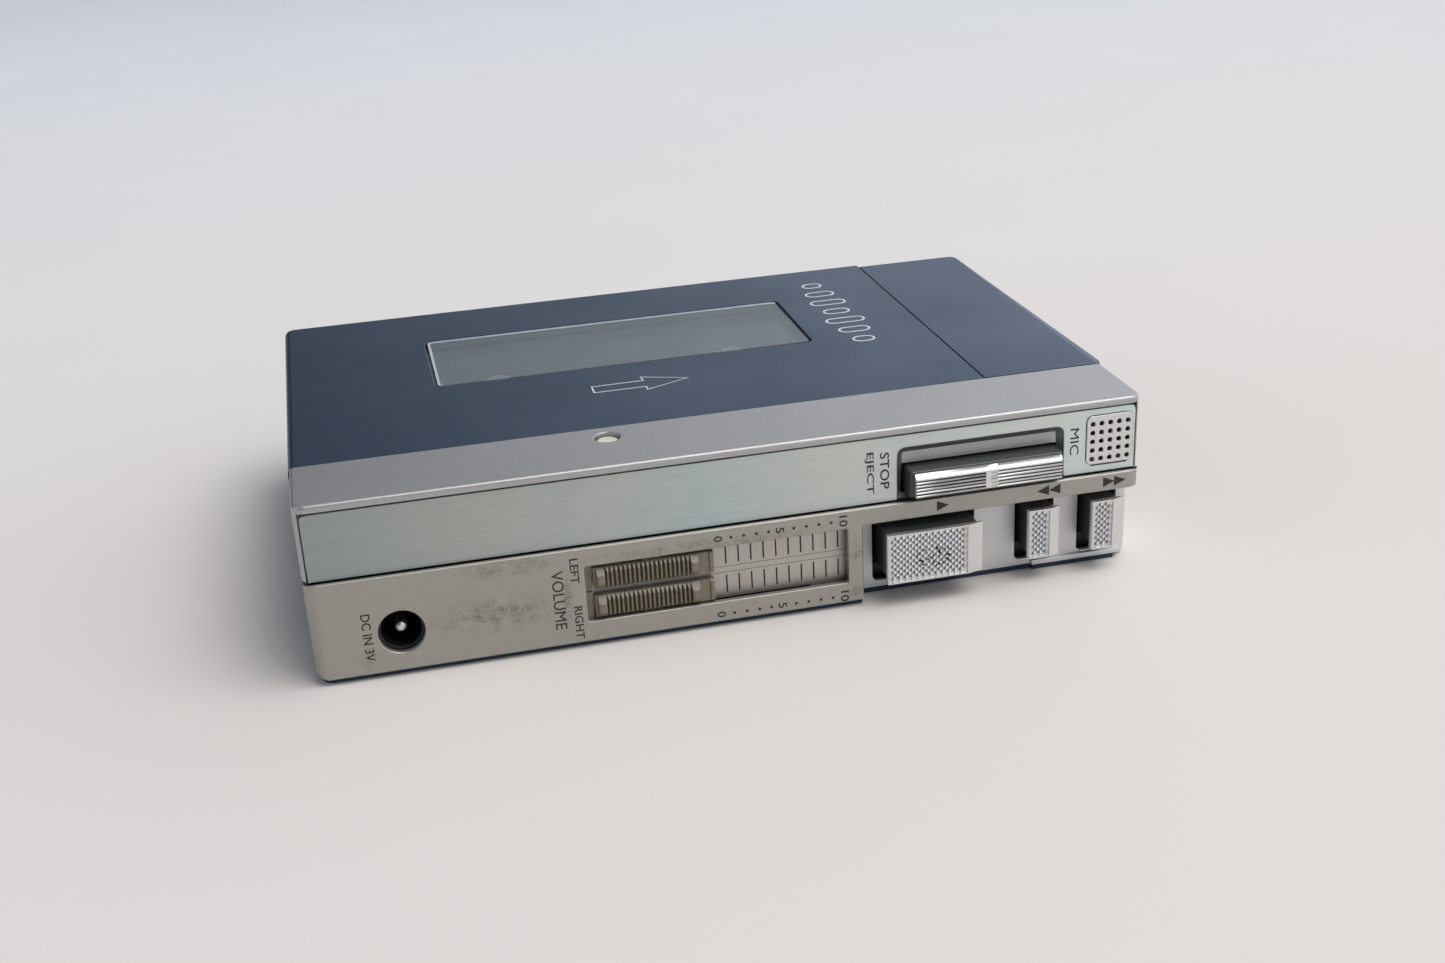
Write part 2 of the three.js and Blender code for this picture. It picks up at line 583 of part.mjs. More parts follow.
function stopCap() {
  const outline = polygon([-2, 18.3], [-1.6, 17.95], [-1.05, 17.95], [-1.05, 22], [-1.4, 22], [-2, 21.5]);
  return extrude(outline, END, 94.4, 118.7);
}

function talkButton() {
  const outline = roundedRectangle(TALK.front, TALK.low, TALK.back, TALK.high, 1.5);
  const face = extrude(outline, END, LENGTH - 3, LENGTH + BUTTON_REACH);
  const stem = block([LENGTH - 9, 52.5, 22.3], [LENGTH - 2, 56, 25.7]);
  return join(face, stem);
}

function toneKnob() {
  const knob = block([LENGTH - 1.5, 38.4, 8.7], [LENGTH + 0.7, 41.4, 10.7]);
  const base = block([LENGTH - 4, 37, 7.5], [LENGTH - 1.4, 43, 12]);
  return join(knob, base);
}

// Screw: a pan head outside and a plain shank, along +Z, head at the low end.
function screw(x, y, headLow, headHigh, shankHigh) {
  const head = disc(TOP, x, y, 1.9, headLow, headHigh, 14);
  const shank = disc(TOP, x, y, 0.8, headHigh - 0.2, shankHigh, 10);
  const slot = block([x - 2, y - 0.25, headLow - 1], [x + 2, y + 0.25, headLow + 0.4]);
  return cut(join(head, shank), slot);
}

function deckScrew(x, y) {
  const head = disc(TOP, x, y, 1.9, DECK.high + 0.1, DECK.high + 1.1, 14);
  const shank = disc(TOP, x, y, 0.8, 9.6, DECK.high + 0.4, 10);
  const slot = block([x - 2, y - 0.25, DECK.high + 0.7], [x + 2, y + 0.25, DECK.high + 2]);
  return cut(join(head, shank), slot);
}

// ---- put together -------------------------------------------------------------------

add('lower_case', lowerCase(), NAVY_PAINT);
add('upper_case', upperCase(), NAVY_PAINT);
add('silver_frame', silverFrame(), SILVER_PAINT);
add('control_panel', controlPanel(), BLASTED_METAL);
add('key_plate', keyPlate(), BLASTED_METAL);
add('trim_strip', trimStrip(), BRUSHED_METAL);
add('mic_grille', micGrille(), BRIGHT_METAL);
add('volume_scale', scalePlate(), BLASTED_METAL);
add('battery_lamp', disc(TOP, LENS.x, LENS.y, LENS.radius - 0.2, 25.8, HEIGHT - 0.5, 20), WHITE_PLASTIC);
add('supply_jack', supplyJack(), BLACK_PLASTIC);
add('mic_capsule', disc(FRONT, MIC.x, MIC.z, 3.6, 2.2, 8, 16), BLACK_PLASTIC);

for (const key of KEYS) {
  add(`${key.name}_key`, keyBody(key), GREY_PLASTIC);
  add(`${key.name}_key_cap`, keyCap(key), BRIGHT_METAL);
}
add('key_guide', keyGuide(), STEEL);
add('stop_button', stopBody(), GREY_PLASTIC);
add('stop_button_cap', stopCap(), BRIGHT_METAL);

for (const row of KNOB_ROWS) {
  add(`volume_knob_${row.name}`, volumeKnob(row), OLIVE_PLASTIC);
  add(`volume_control_${row.name}`, slidePot(row), STEEL);
}

for (const jack of END_JACKS) add(`phone_jack_${jack.name}`, endJack(jack.y), BLACK_PLASTIC);
add('talk_button', talkButton(), ORANGE_PLASTIC);
add('tone_switch', toneKnob(), BLACK_PLASTIC);
add('amplifier_board', block([115, 18.5, 14], [131.6, 84.5, 15.2]), BOARD_GREEN);

add('lid_cover', lidCover(), NAVY_PAINT);
add('lid_window', lidWindow(), SMOKED_CLEAR);
add('cassette_holder', cassetteHolder(), STEEL);
add('lid_catch', lidCatch(), STEEL);
for (const { name, x } of HINGES) {
  const end = x + 2 * KNUCKLE.ear + KNUCKLE.lid + 2 * GAP;
  add(`hinge_pin_${name}`, disc(END, HINGE.y, HINGE.z, HINGE.pin, x, end, 12), STEEL);
}

const [supplyX, takeUpX] = hubCentres();
add('deck_plate', deckPlate(), STEEL);
add('supply_reel', reelTable(supplyX), WHITE_PLASTIC);
add('take_up_reel', reelTable(takeUpX), WHITE_PLASTIC);
add('flywheel', flywheel(), BRASS);
add('idler_wheel', disc(TOP, 79, 45.9, 2, 5.6, 9, 20), RUBBER);
add('motor', disc(TOP, MOTOR.x, MOTOR.y, MOTOR.radius, 4.7, 13.6, 32), STEEL);
add('motor_pulley', drivePulley(), BRASS);
add('drive_belt', driveBelt(), RUBBER);
add('head_carriage', headCarriage(), STEEL);
add('playback_head', playbackHead(), BRIGHT_METAL);
add('pinch_roller', pinchRoller(), RUBBER);

const secondCell = CELL.left + CELL.length + 0.4;
add('battery_cell_a', batteryCell(CELL.left), CELL_WRAP);
add('battery_cell_b', batteryCell(secondCell), CELL_WRAP);
add('battery_spring', batterySpring(CELL.left - 1.6), STEEL);
add('battery_contact', batteryContact(secondCell + CELL.length + 0.3), STEEL);
add('battery_cradle', batteryCradle(), BLACK_PLASTIC);
add('battery_door', batteryDoor(), NAVY_PAINT);

CASE_SCREWS.forEach(([x, y], index) => {
  add(`case_screw_${index + 1}`, screw(x, y, 0.15, 1.05, 4), STEEL);
});
DECK_SCREWS.forEach(([x, y], index) => add(`deck_screw_${index + 1}`, deckScrew(x, y), STEEL));

export default player;
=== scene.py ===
"""Looks of a pocket stereo cassette player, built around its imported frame.

The player lies on its back. Places are in millimetres from its left end (x), the front
of its control panel (y) and its underside (z), which is how its parts are dimensioned.
"""
import math

import bmesh
import bpy
from mathutils import Matrix, Vector


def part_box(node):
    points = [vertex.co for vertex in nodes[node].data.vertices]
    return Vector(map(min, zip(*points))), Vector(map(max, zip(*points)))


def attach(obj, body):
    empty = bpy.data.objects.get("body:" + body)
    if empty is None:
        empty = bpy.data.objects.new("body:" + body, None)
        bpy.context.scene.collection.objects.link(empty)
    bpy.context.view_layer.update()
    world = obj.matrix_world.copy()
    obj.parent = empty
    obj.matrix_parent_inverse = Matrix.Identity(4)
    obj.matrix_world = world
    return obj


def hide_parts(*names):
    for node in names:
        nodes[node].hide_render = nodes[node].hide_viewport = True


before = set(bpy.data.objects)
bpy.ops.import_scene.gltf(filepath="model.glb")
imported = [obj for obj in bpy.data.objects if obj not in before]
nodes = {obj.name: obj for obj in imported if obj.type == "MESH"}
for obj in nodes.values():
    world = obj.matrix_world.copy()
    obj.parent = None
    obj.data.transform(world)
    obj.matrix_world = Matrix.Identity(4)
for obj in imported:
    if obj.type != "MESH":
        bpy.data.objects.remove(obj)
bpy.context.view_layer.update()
scene = bpy.context.scene


# Camera: a normal lens held over a table, a little to the left of the player's middle,
# and leaning slightly to one side as a hand-held camera does.
camera = bpy.data.objects.new("camera", bpy.data.cameras.new("camera"))
camera.data.sensor_width = 36
camera.data.lens = 43.66
camera.data.clip_start = 0.01
aim = Matrix.Rotation(math.radians(-12.143), 4, "Z")
aim = aim @ Matrix.Rotation(math.radians(90 - 23.225), 4, "X")
aim = aim @ Matrix.Rotation(math.radians(-2.965), 4, "Z")
camera.matrix_world = Matrix.Translation((-0.05476, -0.28208, 0.12976)) @ aim
scene.collection.objects.link(camera)
scene.camera = camera
scene.view_settings.view_transform = "Standard"


# Floor and light: matt white paper on a table, under a large soft lamp overhead, a cool
# window at the left and a warm wall at the right.
def linear(hex_colour):
    """An sRGB colour such as "8a8f96" as the linear values that a shader takes."""
    parts = [int(hex_colour[start:start + 2], 16) / 255 for start in (0, 2, 4)]
    bent = [part / 12.92 if part <= 0.04045 else ((part + 0.055) / 1.055) ** 2.4 for part in parts]
    return (*bent, 1)


def add_node(tree, kind, inputs=None, **settings):
    """Adds one shader node. An input is a plain value or another node's output."""
    made = tree.nodes.new("ShaderNode" + kind)
    for name, value in settings.items():
        setattr(made, name, value)
    for name, value in (inputs or {}).items():
        if isinstance(value, bpy.types.NodeSocket):
            tree.links.new(value, made.inputs[name])
        else:
            made.inputs[name].default_value = value
    return made


def new_material(name, slot, **sockets):
    """A material, its node tree, its shader and its Object coordinates."""
    material = bpy.data.materials.new(name)
    material.use_nodes = True
    tree = material.node_tree
    shader = tree.nodes["Principled BSDF"]
    for socket, value in sockets.items():
        shader.inputs[socket.replace("_", " ")].default_value = value
    return material, tree, shader, add_node(tree, "TexCoord").outputs["Object"]


bm = bmesh.new()
bmesh.ops.create_grid(bm, x_segments=1, y_segments=1, size=5)
bmesh.ops.translate(bm, verts=bm.verts, vec=(0, 0, -0.00005))
mesh = bpy.data.meshes.new("floor")
bm.to_mesh(mesh)
bm.free()
floor = bpy.data.objects.new("floor", mesh)
scene.collection.objects.link(floor)

# Paper: matt, with painted light that makes it warm near the player and lighter and cooler further back; a
# soft mottle 60 mm wide.
paper, tree, shader, place = new_material("paper_matt_white", None, Roughness=0.85)
mottle = add_node(tree, "TexNoise", {"Vector": place, "Scale": 1000 / 60, "Detail": 2.0})
spread = add_node(tree, "MapRange", {"Value": add_node(
    tree, "SeparateXYZ", {"Vector": place}).outputs["Y"], "From Min": 0.0, "From Max": 0.6})
paper_painted_light = add_node(tree, "Mix", {0: spread.outputs[0], 6: linear("e8e1dc"),
                                   7: linear("f8fbff")}, data_type="RGBA")
faint = add_node(tree, "MapRange", {"Value": mottle.outputs["Fac"], "To Max": 0.2})
tint = add_node(tree, "Mix", {0: faint.outputs[0], 6: paper_painted_light.outputs[2],
                              7: linear("e6e0dc")}, data_type="RGBA")
tree.links.new(tint.outputs[2], shader.inputs["Base Color"])
floor.data.materials.append(paper)

scene.world = bpy.data.worlds.new("studio")
scene.world.use_nodes = True
sky = scene.world.node_tree
sky.nodes["Background"].inputs["Color"].default_value = linear("e6ecf4")
heading = add_node(sky, "SeparateXYZ", {"Vector": add_node(sky, "TexCoord").outputs["Generated"]})
glow = add_node(sky, "MapRange", {"Value": heading.outputs["X"], "From Min": -0.12,
                                  "From Max": 0.45, "To Min": 0.12, "To Max": 1.35})
ceiling = add_node(sky, "MapRange", {"Value": heading.outputs["Z"], "From Min": 0.28,
                                     "From Max": 0.6, "To Min": 1.1, "To Max": 0.6})
glow = add_node(sky, "Math", {0: glow.outputs[0], 1: ceiling.outputs[0]}, operation="MULTIPLY")
sky.links.new(glow.outputs[0], sky.nodes["Background"].inputs["Strength"])

LAMPS = [  # name, place in metres, width, colour, watts
    ("overhead", (0.5, -0.4, 1.45), 1.2, "fffcf8", 16.5),
    ("left_window", (-0.9, -0.1, 0.6), 0.7, "d4e6ff", 2),
]
for name, spot, width, colour, watts in LAMPS:
    lamp = bpy.data.objects.new(name, bpy.data.lights.new(name, "AREA"))
    lamp.data.size = width
    lamp.data.energy = watts
    lamp.data.color = linear(colour)[:3]
    lamp.matrix_world = Matrix.Translation(spot) @ Vector(spot).to_track_quat("Z", "Y").to_matrix().to_4x4()
    scene.collection.objects.link(lamp)


# Lower case: a pressed aluminium tray, lacquered a metallic navy. Its long edges are
# rolled over a radius, and its cut edges only broken.
SITE = Matrix.Translation((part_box("lower_case")[0].x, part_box("control_panel")[0].y, 0))
SITE = SITE @ Matrix.Scale(0.001, 4)
CREASE = math.radians(30)


def make_piece(name, bm, material, body, stands_for=(), radius=0, segments=2):
    """Turns a bmesh in millimetres into a piece that rides on a body.
    radius rounds the hard edges: a number of mm, or a function of an edge's middle."""
    weight = bm.edges.layers.float.new("bevel_weight_edge")
    sizes = {}
    for edge in bm.edges:
        if len(edge.link_faces) == 2 and edge.calc_face_angle() > CREASE:
            middle = (edge.verts[0].co + edge.verts[1].co) / 2
            sizes[edge] = radius(middle) if callable(radius) else radius
    widest = max(sizes.values(), default=0)
    for edge, size in sizes.items():
        if size:
            edge[weight] = size / widest
        else:
            edge.smooth = False
    bm.transform(SITE)
    mesh = bpy.data.meshes.new(name)
    bm.to_mesh(mesh)
    bm.free()
    for polygon in mesh.polygons:
        polygon.use_smooth = True
    mesh.materials.append(material)
    piece = bpy.data.objects.new(name, mesh)
    scene.collection.objects.link(piece)
    if widest:
        bevel = piece.modifiers.new("edges", "BEVEL")
        bevel.limit_method = "WEIGHT"
        bevel.width = widest / 1000
        bevel.segments = segments
        bevel.use_clamp_overlap = False
    normals = piece.modifiers.new("normals", "WEIGHTED_NORMAL")
    normals.keep_sharp = True
    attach(piece, body)
    if stands_for:
        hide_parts(*stands_for)
    return piece


def copy_of(node):
    """A node's mesh in millimetres, its triangles merged into whole faces."""
    bm = bmesh.new()
    bm.from_mesh(nodes[node].data)
    bm.transform(SITE.inverted())
    bmesh.ops.remove_doubles(bm, verts=bm.verts, dist=0.002)
    bmesh.ops.dissolve_limit(bm, angle_limit=math.radians(0.5), verts=bm.verts, edges=bm.edges)
    return bm


def soften(node, material, body, radius=0.12, segments=2):
    """Stands a copy with rounded edges in a node's place."""
    return make_piece(node + "_finished", copy_of(node), material, body, [node], radius, segments)


# Lacquer: navy with fine aluminium flake, half gloss; the flake is drawn 0.3 mm wide so
# that it shows, and handling has left broad faint smears in the gloss.
navy, tree, shader, place = new_material(
    "aluminium_lacquered_navy", "navy_paint", Metallic=0.25, IOR=1.5, Coat_Weight=0.3,
    Coat_Roughness=0.3, Specular_Tint=linear("a9c8f8"))
flake = add_node(tree, "TexNoise", {"Vector": place, "Scale": 1000 / 0.3, "Detail": 3.0})
smear = add_node(tree, "TexNoise", {"Vector": place, "Scale": 1000 / 25, "Detail": 4.0})
tint = add_node(tree, "Mix", {0: flake.outputs["Fac"], 6: linear("1a2637"),
                              7: linear("29394e")}, data_type="RGBA")
gloss = add_node(tree, "MapRange", {"Value": smear.outputs["Fac"], "From Min": 0.3,
                                    "From Max": 0.7, "To Min": 0.36, "To Max": 0.46})
grain = add_node(tree, "Bump", {"Height": flake.outputs["Fac"], "Strength": 0.15,
                                "Distance": 0.00003})
tree.links.new(tint.outputs[2], shader.inputs["Base Color"])
tree.links.new(gloss.outputs[0], shader.inputs["Roughness"])
tree.links.new(grain.outputs[0], shader.inputs["Normal"])

bm = copy_of("lower_case")
for vert in bm.verts:
    if 2.1 < vert.co.y < 2.3 and vert.co.x > 114:
        vert.co.y = 3.4
make_piece("lower_case_finished", bm, navy, "case", ["lower_case"],
           lambda p: 0.9 if p.z < 0.05 and p.y > 17 else 0.1, 3)


# Upper case: the navy wall under the lid and the fixed top panel at the right, with the
# ears of the two hinges.
def upper_edge(p):
    if p.y < 16.8 or p.x < 113 and p.z > 24.3:
        return 0
    return 1.1 if p.z > 29.4 else 0.08


soften("upper_case", navy, "case", upper_edge, 3)


# Lid cover: a navy pressing with a rolled edge on three sides and a window cut in it.
# It closes against the silver frame with hardly a gap.
def lid_edge(p):
    if 24 < p.x < 92 and 44 < p.y < 71 and p.z > 27:
        return 0.3
    if p.y < 16.6 or p.x > 112.5:
        return 0
    return 1.1 if p.z > 29.4 else 0.08


bm = copy_of("lid_cover")
for vert in bm.verts:
    if abs(vert.co.y - 16.7) < 0.01:
        vert.co.y = 16.5
make_piece("lid_cover_finished", bm, navy, "lid", ["lid_cover"], lid_edge, 3)


# Lid window: clear acrylic, moulded proud of its opening with a bevelled rim, and gone
# a little hazy with fine scratches.
acrylic, tree, shader, place = new_material(
    "acrylic_moulded_hazy", "smoked_acrylic", IOR=1.49, Alpha=0.5,
    Coat_Weight=0.4, Coat_Roughness=0.1)
haze = add_node(tree, "TexNoise", {"Vector": place, "Scale": 1000 / 12, "Detail": 5.0})
tint = add_node(tree, "Mix", {0: haze.outputs["Fac"], 6: linear("666e77"),
                              7: linear("8f979f")}, data_type="RGBA")
gloss = add_node(tree, "MapRange", {"Value": haze.outputs["Fac"], "To Min": 0.12, "To Max": 0.3})
tree.links.new(tint.outputs[2], shader.inputs["Base Color"])
tree.links.new(gloss.outputs[0], shader.inputs["Roughness"])
# Its rim: the same acrylic on a bevel, painted paler at the back and the left as a painted highlight, a
# pale line.
rim_highlight_paint, tree, shader, place = new_material(
    "acrylic_painted_highlight_rim", "smoked_acrylic", IOR=1.49, Coat_Weight=0.5, Coat_Roughness=0.1)
chips = add_node(tree, "TexNoise", {"Vector": place, "Scale": 1000 / 1.5, "Detail": 3.0})
tint = add_node(tree, "Mix", {0: chips.outputs["Fac"], 6: linear("8f979d"),
                              7: linear("c3c7c9")}, data_type="RGBA")
gloss = add_node(tree, "MapRange", {"Value": chips.outputs["Fac"], "To Min": 0.15, "To Max": 0.35})
tree.links.new(tint.outputs[2], shader.inputs["Base Color"])
tree.links.new(gloss.outputs[0], shader.inputs["Roughness"])
bm = copy_of("lid_window")
pane = max(bm.faces, key=lambda face: face.calc_center_median().z)
outer = list(pane.verts)
for face in bmesh.ops.inset_region(bm, faces=[pane], thickness=0.5)["faces"]:
    middle = face.calc_center_median()
    # Painted highlight: the rim's back and left faces take the paler acrylic, the front and right keep the
    # darker one.
    face.material_index = 1 if middle.y > 58 or middle.x < 27 else 0
for vert in outer:
    vert.co.z -= 0.13
window = make_piece("lid_window_finished", bm, acrylic, "lid", ["lid_window"],
                    lambda p: 0.9 if 28.2 < p.z < 29.3 else 0.05)
window.data.materials.append(rim_highlight_paint)


# Lid print: a tape-direction arrow and a row of level bars, hot-stamped in silver foil.
# Each is an outline with a paler line inside it.
def stamp_outline(bm, points, top, widths):
    """Adds rings that follow a closed outline inwards: widths of foil and space in turn."""
    face = bm.faces.new([bm.verts.new((x, y, top)) for x, y in points])
    bare = [face]
    for turn, width in enumerate(widths):
        ring = bmesh.ops.inset_region(bm, faces=[face], thickness=width,
                                      use_boundary=True)["faces"]
        if turn % 2:
            bare += ring
    bmesh.ops.delete(bm, geom=bare, context="FACES")


foil, tree, shader, place = new_material("foil_hot_stamped_silver", "bright_aluminium",
                                         Metallic=0.3)
wear = add_node(tree, "TexNoise", {"Vector": place, "Scale": 1000 / 0.8, "Detail": 3.0})
tint = add_node(tree, "Mix", {0: wear.outputs["Fac"], 6: linear("c4c8d4"),
                              7: linear("f2f3f8")}, data_type="RGBA")
gloss = add_node(tree, "MapRange", {"Value": wear.outputs["Fac"], "To Min": 0.35, "To Max": 0.6})
tree.links.new(tint.outputs[2], shader.inputs["Base Color"])
tree.links.new(gloss.outputs[0], shader.inputs["Roughness"])

LID_TOP = 29.5
bm = bmesh.new()
arrow = [(49.9, 32.3), (58.7, 32.3), (58.7, 30.8), (66.9, 34.3), (58.7, 37.8), (58.7, 35.9),
         (49.9, 35.9)]
stamp_outline(bm, arrow, LID_TOP + 0.03, [0.5, 0.22, 0.4])
BAR_MIDDLE = 100.3
BAR_HALF = 1.75
for number, length in enumerate([4.6, 6.4, 7.9, 5.6, 7.4, 6.2, 4.4]):
    y = 43.2 + number * 5.6
    reach = length / 2 - BAR_HALF
    pill = []
    for end, turn in ((1, -90), (-1, 90)):
        for step in range(0, 181, 18):
            angle = math.radians(turn + step)
            pill.append((BAR_MIDDLE + end * reach + BAR_HALF * math.cos(angle),
                         y + BAR_HALF * math.sin(angle)))
    stamp_outline(bm, pill, LID_TOP + 0.03, [0.45, 0.22, 0.42])
bmesh.ops.recalc_face_normals(bm, faces=bm.faces)
bmesh.ops.solidify(bm, geom=bm.faces[:], thickness=0.05)
make_piece("lid_print", bm, foil, "lid")


# Silver frame: a casting that makes the top band, the two end cheeks and the bed of the
# trim strip; its front edge is rounded.
silver, tree, shader, place = new_material(
    "aluminium_lacquered_silver", "silver_paint", Metallic=0.75, IOR=1.5)
flake = add_node(tree, "TexNoise", {"Vector": place, "Scale": 1000 / 0.35, "Detail": 3.0})
smear = add_node(tree, "TexNoise", {"Vector": place, "Scale": 1000 / 18, "Detail": 4.0})
tint = add_node(tree, "Mix", {0: flake.outputs["Fac"], 6: linear("a5a3a3"),
                              7: linear("c2c0c0")}, data_type="RGBA")
gloss = add_node(tree, "MapRange", {"Value": smear.outputs["Fac"], "From Min": 0.3,
                                    "From Max": 0.7, "To Min": 0.38, "To Max": 0.46})
grain = add_node(tree, "Bump", {"Height": flake.outputs["Fac"], "Strength": 0.25,
                                "Distance": 0.00004})
tree.links.new(tint.outputs[2], shader.inputs["Base Color"])
tree.links.new(gloss.outputs[0], shader.inputs["Roughness"])
tree.links.new(grain.outputs[0], shader.inputs["Normal"])


def frame_edge(p):
    if p.z > 29.4 and 46.5 < p.x < 51 and 9 < p.y < 15:
        return 0.2
    if p.y > 16.3:
        return 0
    return 0.55 if p.z > 29.4 else 0.12


soften("silver_frame", silver, "case", frame_edge, 4)


# Battery lamp: a cream polystyrene lens set a little below the band's top.
cream, tree, shader, place = new_material(
    "polystyrene_moulded_cream", "white_plastic", Roughness=0.35, IOR=1.59,
    Subsurface_Weight=0.3, Subsurface_Scale=0.001)
cloud = add_node(tree, "TexNoise", {"Vector": place, "Scale": 1000 / 2, "Detail": 3.0})
tint = add_node(tree, "Mix", {0: cloud.outputs["Fac"], 6: linear("d3d2bd"),
                              7: linear("e6e4d2")}, data_type="RGBA")
tree.links.new(tint.outputs[2], shader.inputs["Base Color"])
soften("battery_lamp", cream, "case", 0.5, 4)


# Trim strip: rolled aluminium plate, brushed along its length and anodised clear, with
# the stop button's opening rounded over at its edge.
brushed, tree, shader, place = new_material(
    "aluminium_brushed_anodised", "brushed_aluminium", Metallic=0.9)
along = add_node(tree, "Mapping", {"Vector": place, "Scale": (0.03, 1, 1)})
lines = add_node(tree, "TexNoise", {"Vector": along.outputs[0], "Scale": 1000 / 0.12,
                                    "Detail": 4.0})
broad = add_node(tree, "TexNoise", {"Vector": along.outputs[0], "Scale": 1000 / 1.2,
                                    "Detail": 2.0})
tint = add_node(tree, "Mix", {0: lines.outputs["Fac"], 6: linear("ccd6d6"),
                              7: linear("edf5f4")}, data_type="RGBA")
gloss = add_node(tree, "MapRange", {"Value": broad.outputs["Fac"], "From Min": 0.3,
                                    "From Max": 0.7, "To Min": 0.34, "To Max": 0.44})
grain = add_node(tree, "Bump", {"Height": lines.outputs["Fac"], "Strength": 0.3,
                                "Distance": 0.00003})
# Painted shade: the plate's colour is darkened towards the left end, to half at the far left; the warm and
# cool patches on top are its own tone.
side = add_node(tree, "SeparateXYZ", {"Vector": place})
fade = add_node(tree, "MapRange", {"Value": side.outputs["X"], "From Min": -0.067,
                                   "From Max": 0.067, "To Min": 0.5, "To Max": 1.0})
tone_and_painted_shade = add_node(tree, "Mix", {0: 1.0, 6: tint.outputs[2], 7: fade.outputs[0]},
                 data_type="RGBA", blend_type="MULTIPLY")
patch = add_node(tree, "TexNoise", {"Vector": place, "Scale": 1000 / 30, "Detail": 2.0})
patch = add_node(tree, "MapRange", {"Value": patch.outputs["Fac"], "From Min": 0.35,
                                    "From Max": 0.65})
hue = add_node(tree, "Mix", {0: patch.outputs[0], 6: linear("f1fbfe"),
                             7: linear("fffbf5")}, data_type="RGBA")
tone_and_painted_shade = add_node(tree, "Mix", {0: 1.0, 6: tone_and_painted_shade.outputs[2], 7: hue.outputs[2]},
                 data_type="RGBA", blend_type="MULTIPLY")
tree.links.new(tone_and_painted_shade.outputs[2], shader.inputs["Base Color"])
tree.links.new(gloss.outputs[0], shader.inputs["Roughness"])
tree.links.new(grain.outputs[0], shader.inputs["Normal"])
bm = copy_of("trim_strip")
for vert in bm.verts:
    if vert.co.z < 18.41:
        if vert.co.x < 2.31 or vert.co.x > 131.19:
            vert.co.x = 1.2 if vert.co.x < 2.31 else 132.3
            vert.co.z = 17.3
        vert.co.z -= 0.25
    if vert.co.z > 28:
        vert.co.z -= 0.2
bmesh.ops.remove_doubles(bm, verts=bm.verts, dist=0.01)
make_piece("trim_strip_finished", bm, brushed, "case", ["trim_strip"],
           lambda p: 0 if p.y > 1.05 else 0.25 if 92 < p.x < 120.5 and 17.5 < p.z < 26 else 0.08, 3)


def add_block(bm, low, high):
    """Adds a box between two corners."""
    made = bmesh.ops.create_cube(bm, size=1)["verts"]
    size = Vector(high) - Vector(low)
    bmesh.ops.scale(bm, verts=made, vec=size)
    bmesh.ops.translate(bm, verts=made, vec=Vector(low) + size / 2)


bm = bmesh.new()
add_block(bm, (91.8, 1.98, 22.75), (120.6, 2.18, 26.4))
make_piece("stop_button_bed", bm, silver, "case", radius=0.08)

# The opening's liner: a rim that slopes in from the strip to the bed, coloured dark grey as painted shade
# inside the opening.
liner_shade, tree, shader, place = new_material("grey_liner_painted_shade", "silver_paint", Metallic=0.7)
sand = add_node(tree, "TexNoise", {"Vector": place, "Scale": 1000 / 0.3, "Detail": 3.0})
tint = add_node(tree, "Mix", {0: sand.outputs["Fac"], 6: linear("5f6463"),
                              7: linear("777c7a")}, data_type="RGBA")
gloss = add_node(tree, "MapRange", {"Value": sand.outputs["Fac"], "To Min": 0.35, "To Max": 0.5})
tree.links.new(tint.outputs[2], shader.inputs["Base Color"])
tree.links.new(gloss.outputs[0], shader.inputs["Roughness"])
bm = bmesh.new()
opening = [(92.4, 17.2), (120.1, 17.2)]
for middle, turn in ((118.9, 0), (93.6, 90)):
    for step in range(0, 91, 15):
        angle = math.radians(turn + step)
        opening.append((middle + 1.2 * math.cos(angle), 24.5 + 1.2 * math.sin(angle)))
face = bm.faces.new([bm.verts.new((x, 1.35, z)) for x, z in opening])
bm.normal_update()
bmesh.ops.inset_region(bm, faces=[face], thickness=1.0, depth=-0.6,
                       use_boundary=True)
bmesh.ops.delete(bm, geom=[face], context="FACES")
bm.normal_update()
bmesh.ops.solidify(bm, geom=bm.faces[:], thickness=0.1)
bmesh.ops.recalc_face_normals(bm, faces=bm.faces)
make_piece("stop_button_liner", bm, liner_shade, "case")


# Microphone grille: a bright plate with 25 punched holes, over a black felt disc.
bright, tree, shader, place = new_material(
    "aluminium_machined_bright", "bright_aluminium", Metallic=1.0)
turned = add_node(tree, "TexNoise", {"Vector": place, "Scale": 1000 / 0.4, "Detail": 3.0})
tint = add_node(tree, "Mix", {0: turned.outputs["Fac"], 6: linear("cdcdcc"),
                              7: linear("ebeae7")}, data_type="RGBA")
gloss = add_node(tree, "MapRange", {"Value": turned.outputs["Fac"], "To Min": 0.36, "To Max": 0.48})
tree.links.new(tint.outputs[2], shader.inputs["Base Color"])
tree.links.new(gloss.outputs[0], shader.inputs["Roughness"])
def round_corner(bm, x, z, across, up, radius, steps=5):
    """Rounds a corner seen from the front, at (x, z), with flat cuts along y.
    across and up are -1 or 1: the way that the corner points."""
    for step in range(1, steps + 1):
        angle = math.radians(90 * step / (steps + 1))
        out = Vector((across * math.cos(angle), 0, up * math.sin(angle)))
        middle = Vector((x - across * radius, 0, z - up * radius))
        cut = bmesh.ops.bisect_plane(bm, geom=bm.verts[:] + bm.edges[:] + bm.faces[:],
                                     plane_co=middle + out * radius, plane_no=out,
                                     clear_outer=True)
        rim = [g for g in cut["geom_cut"] if isinstance(g, bmesh.types.BMEdge)]
        bmesh.ops.holes_fill(bm, edges=rim, sides=0)


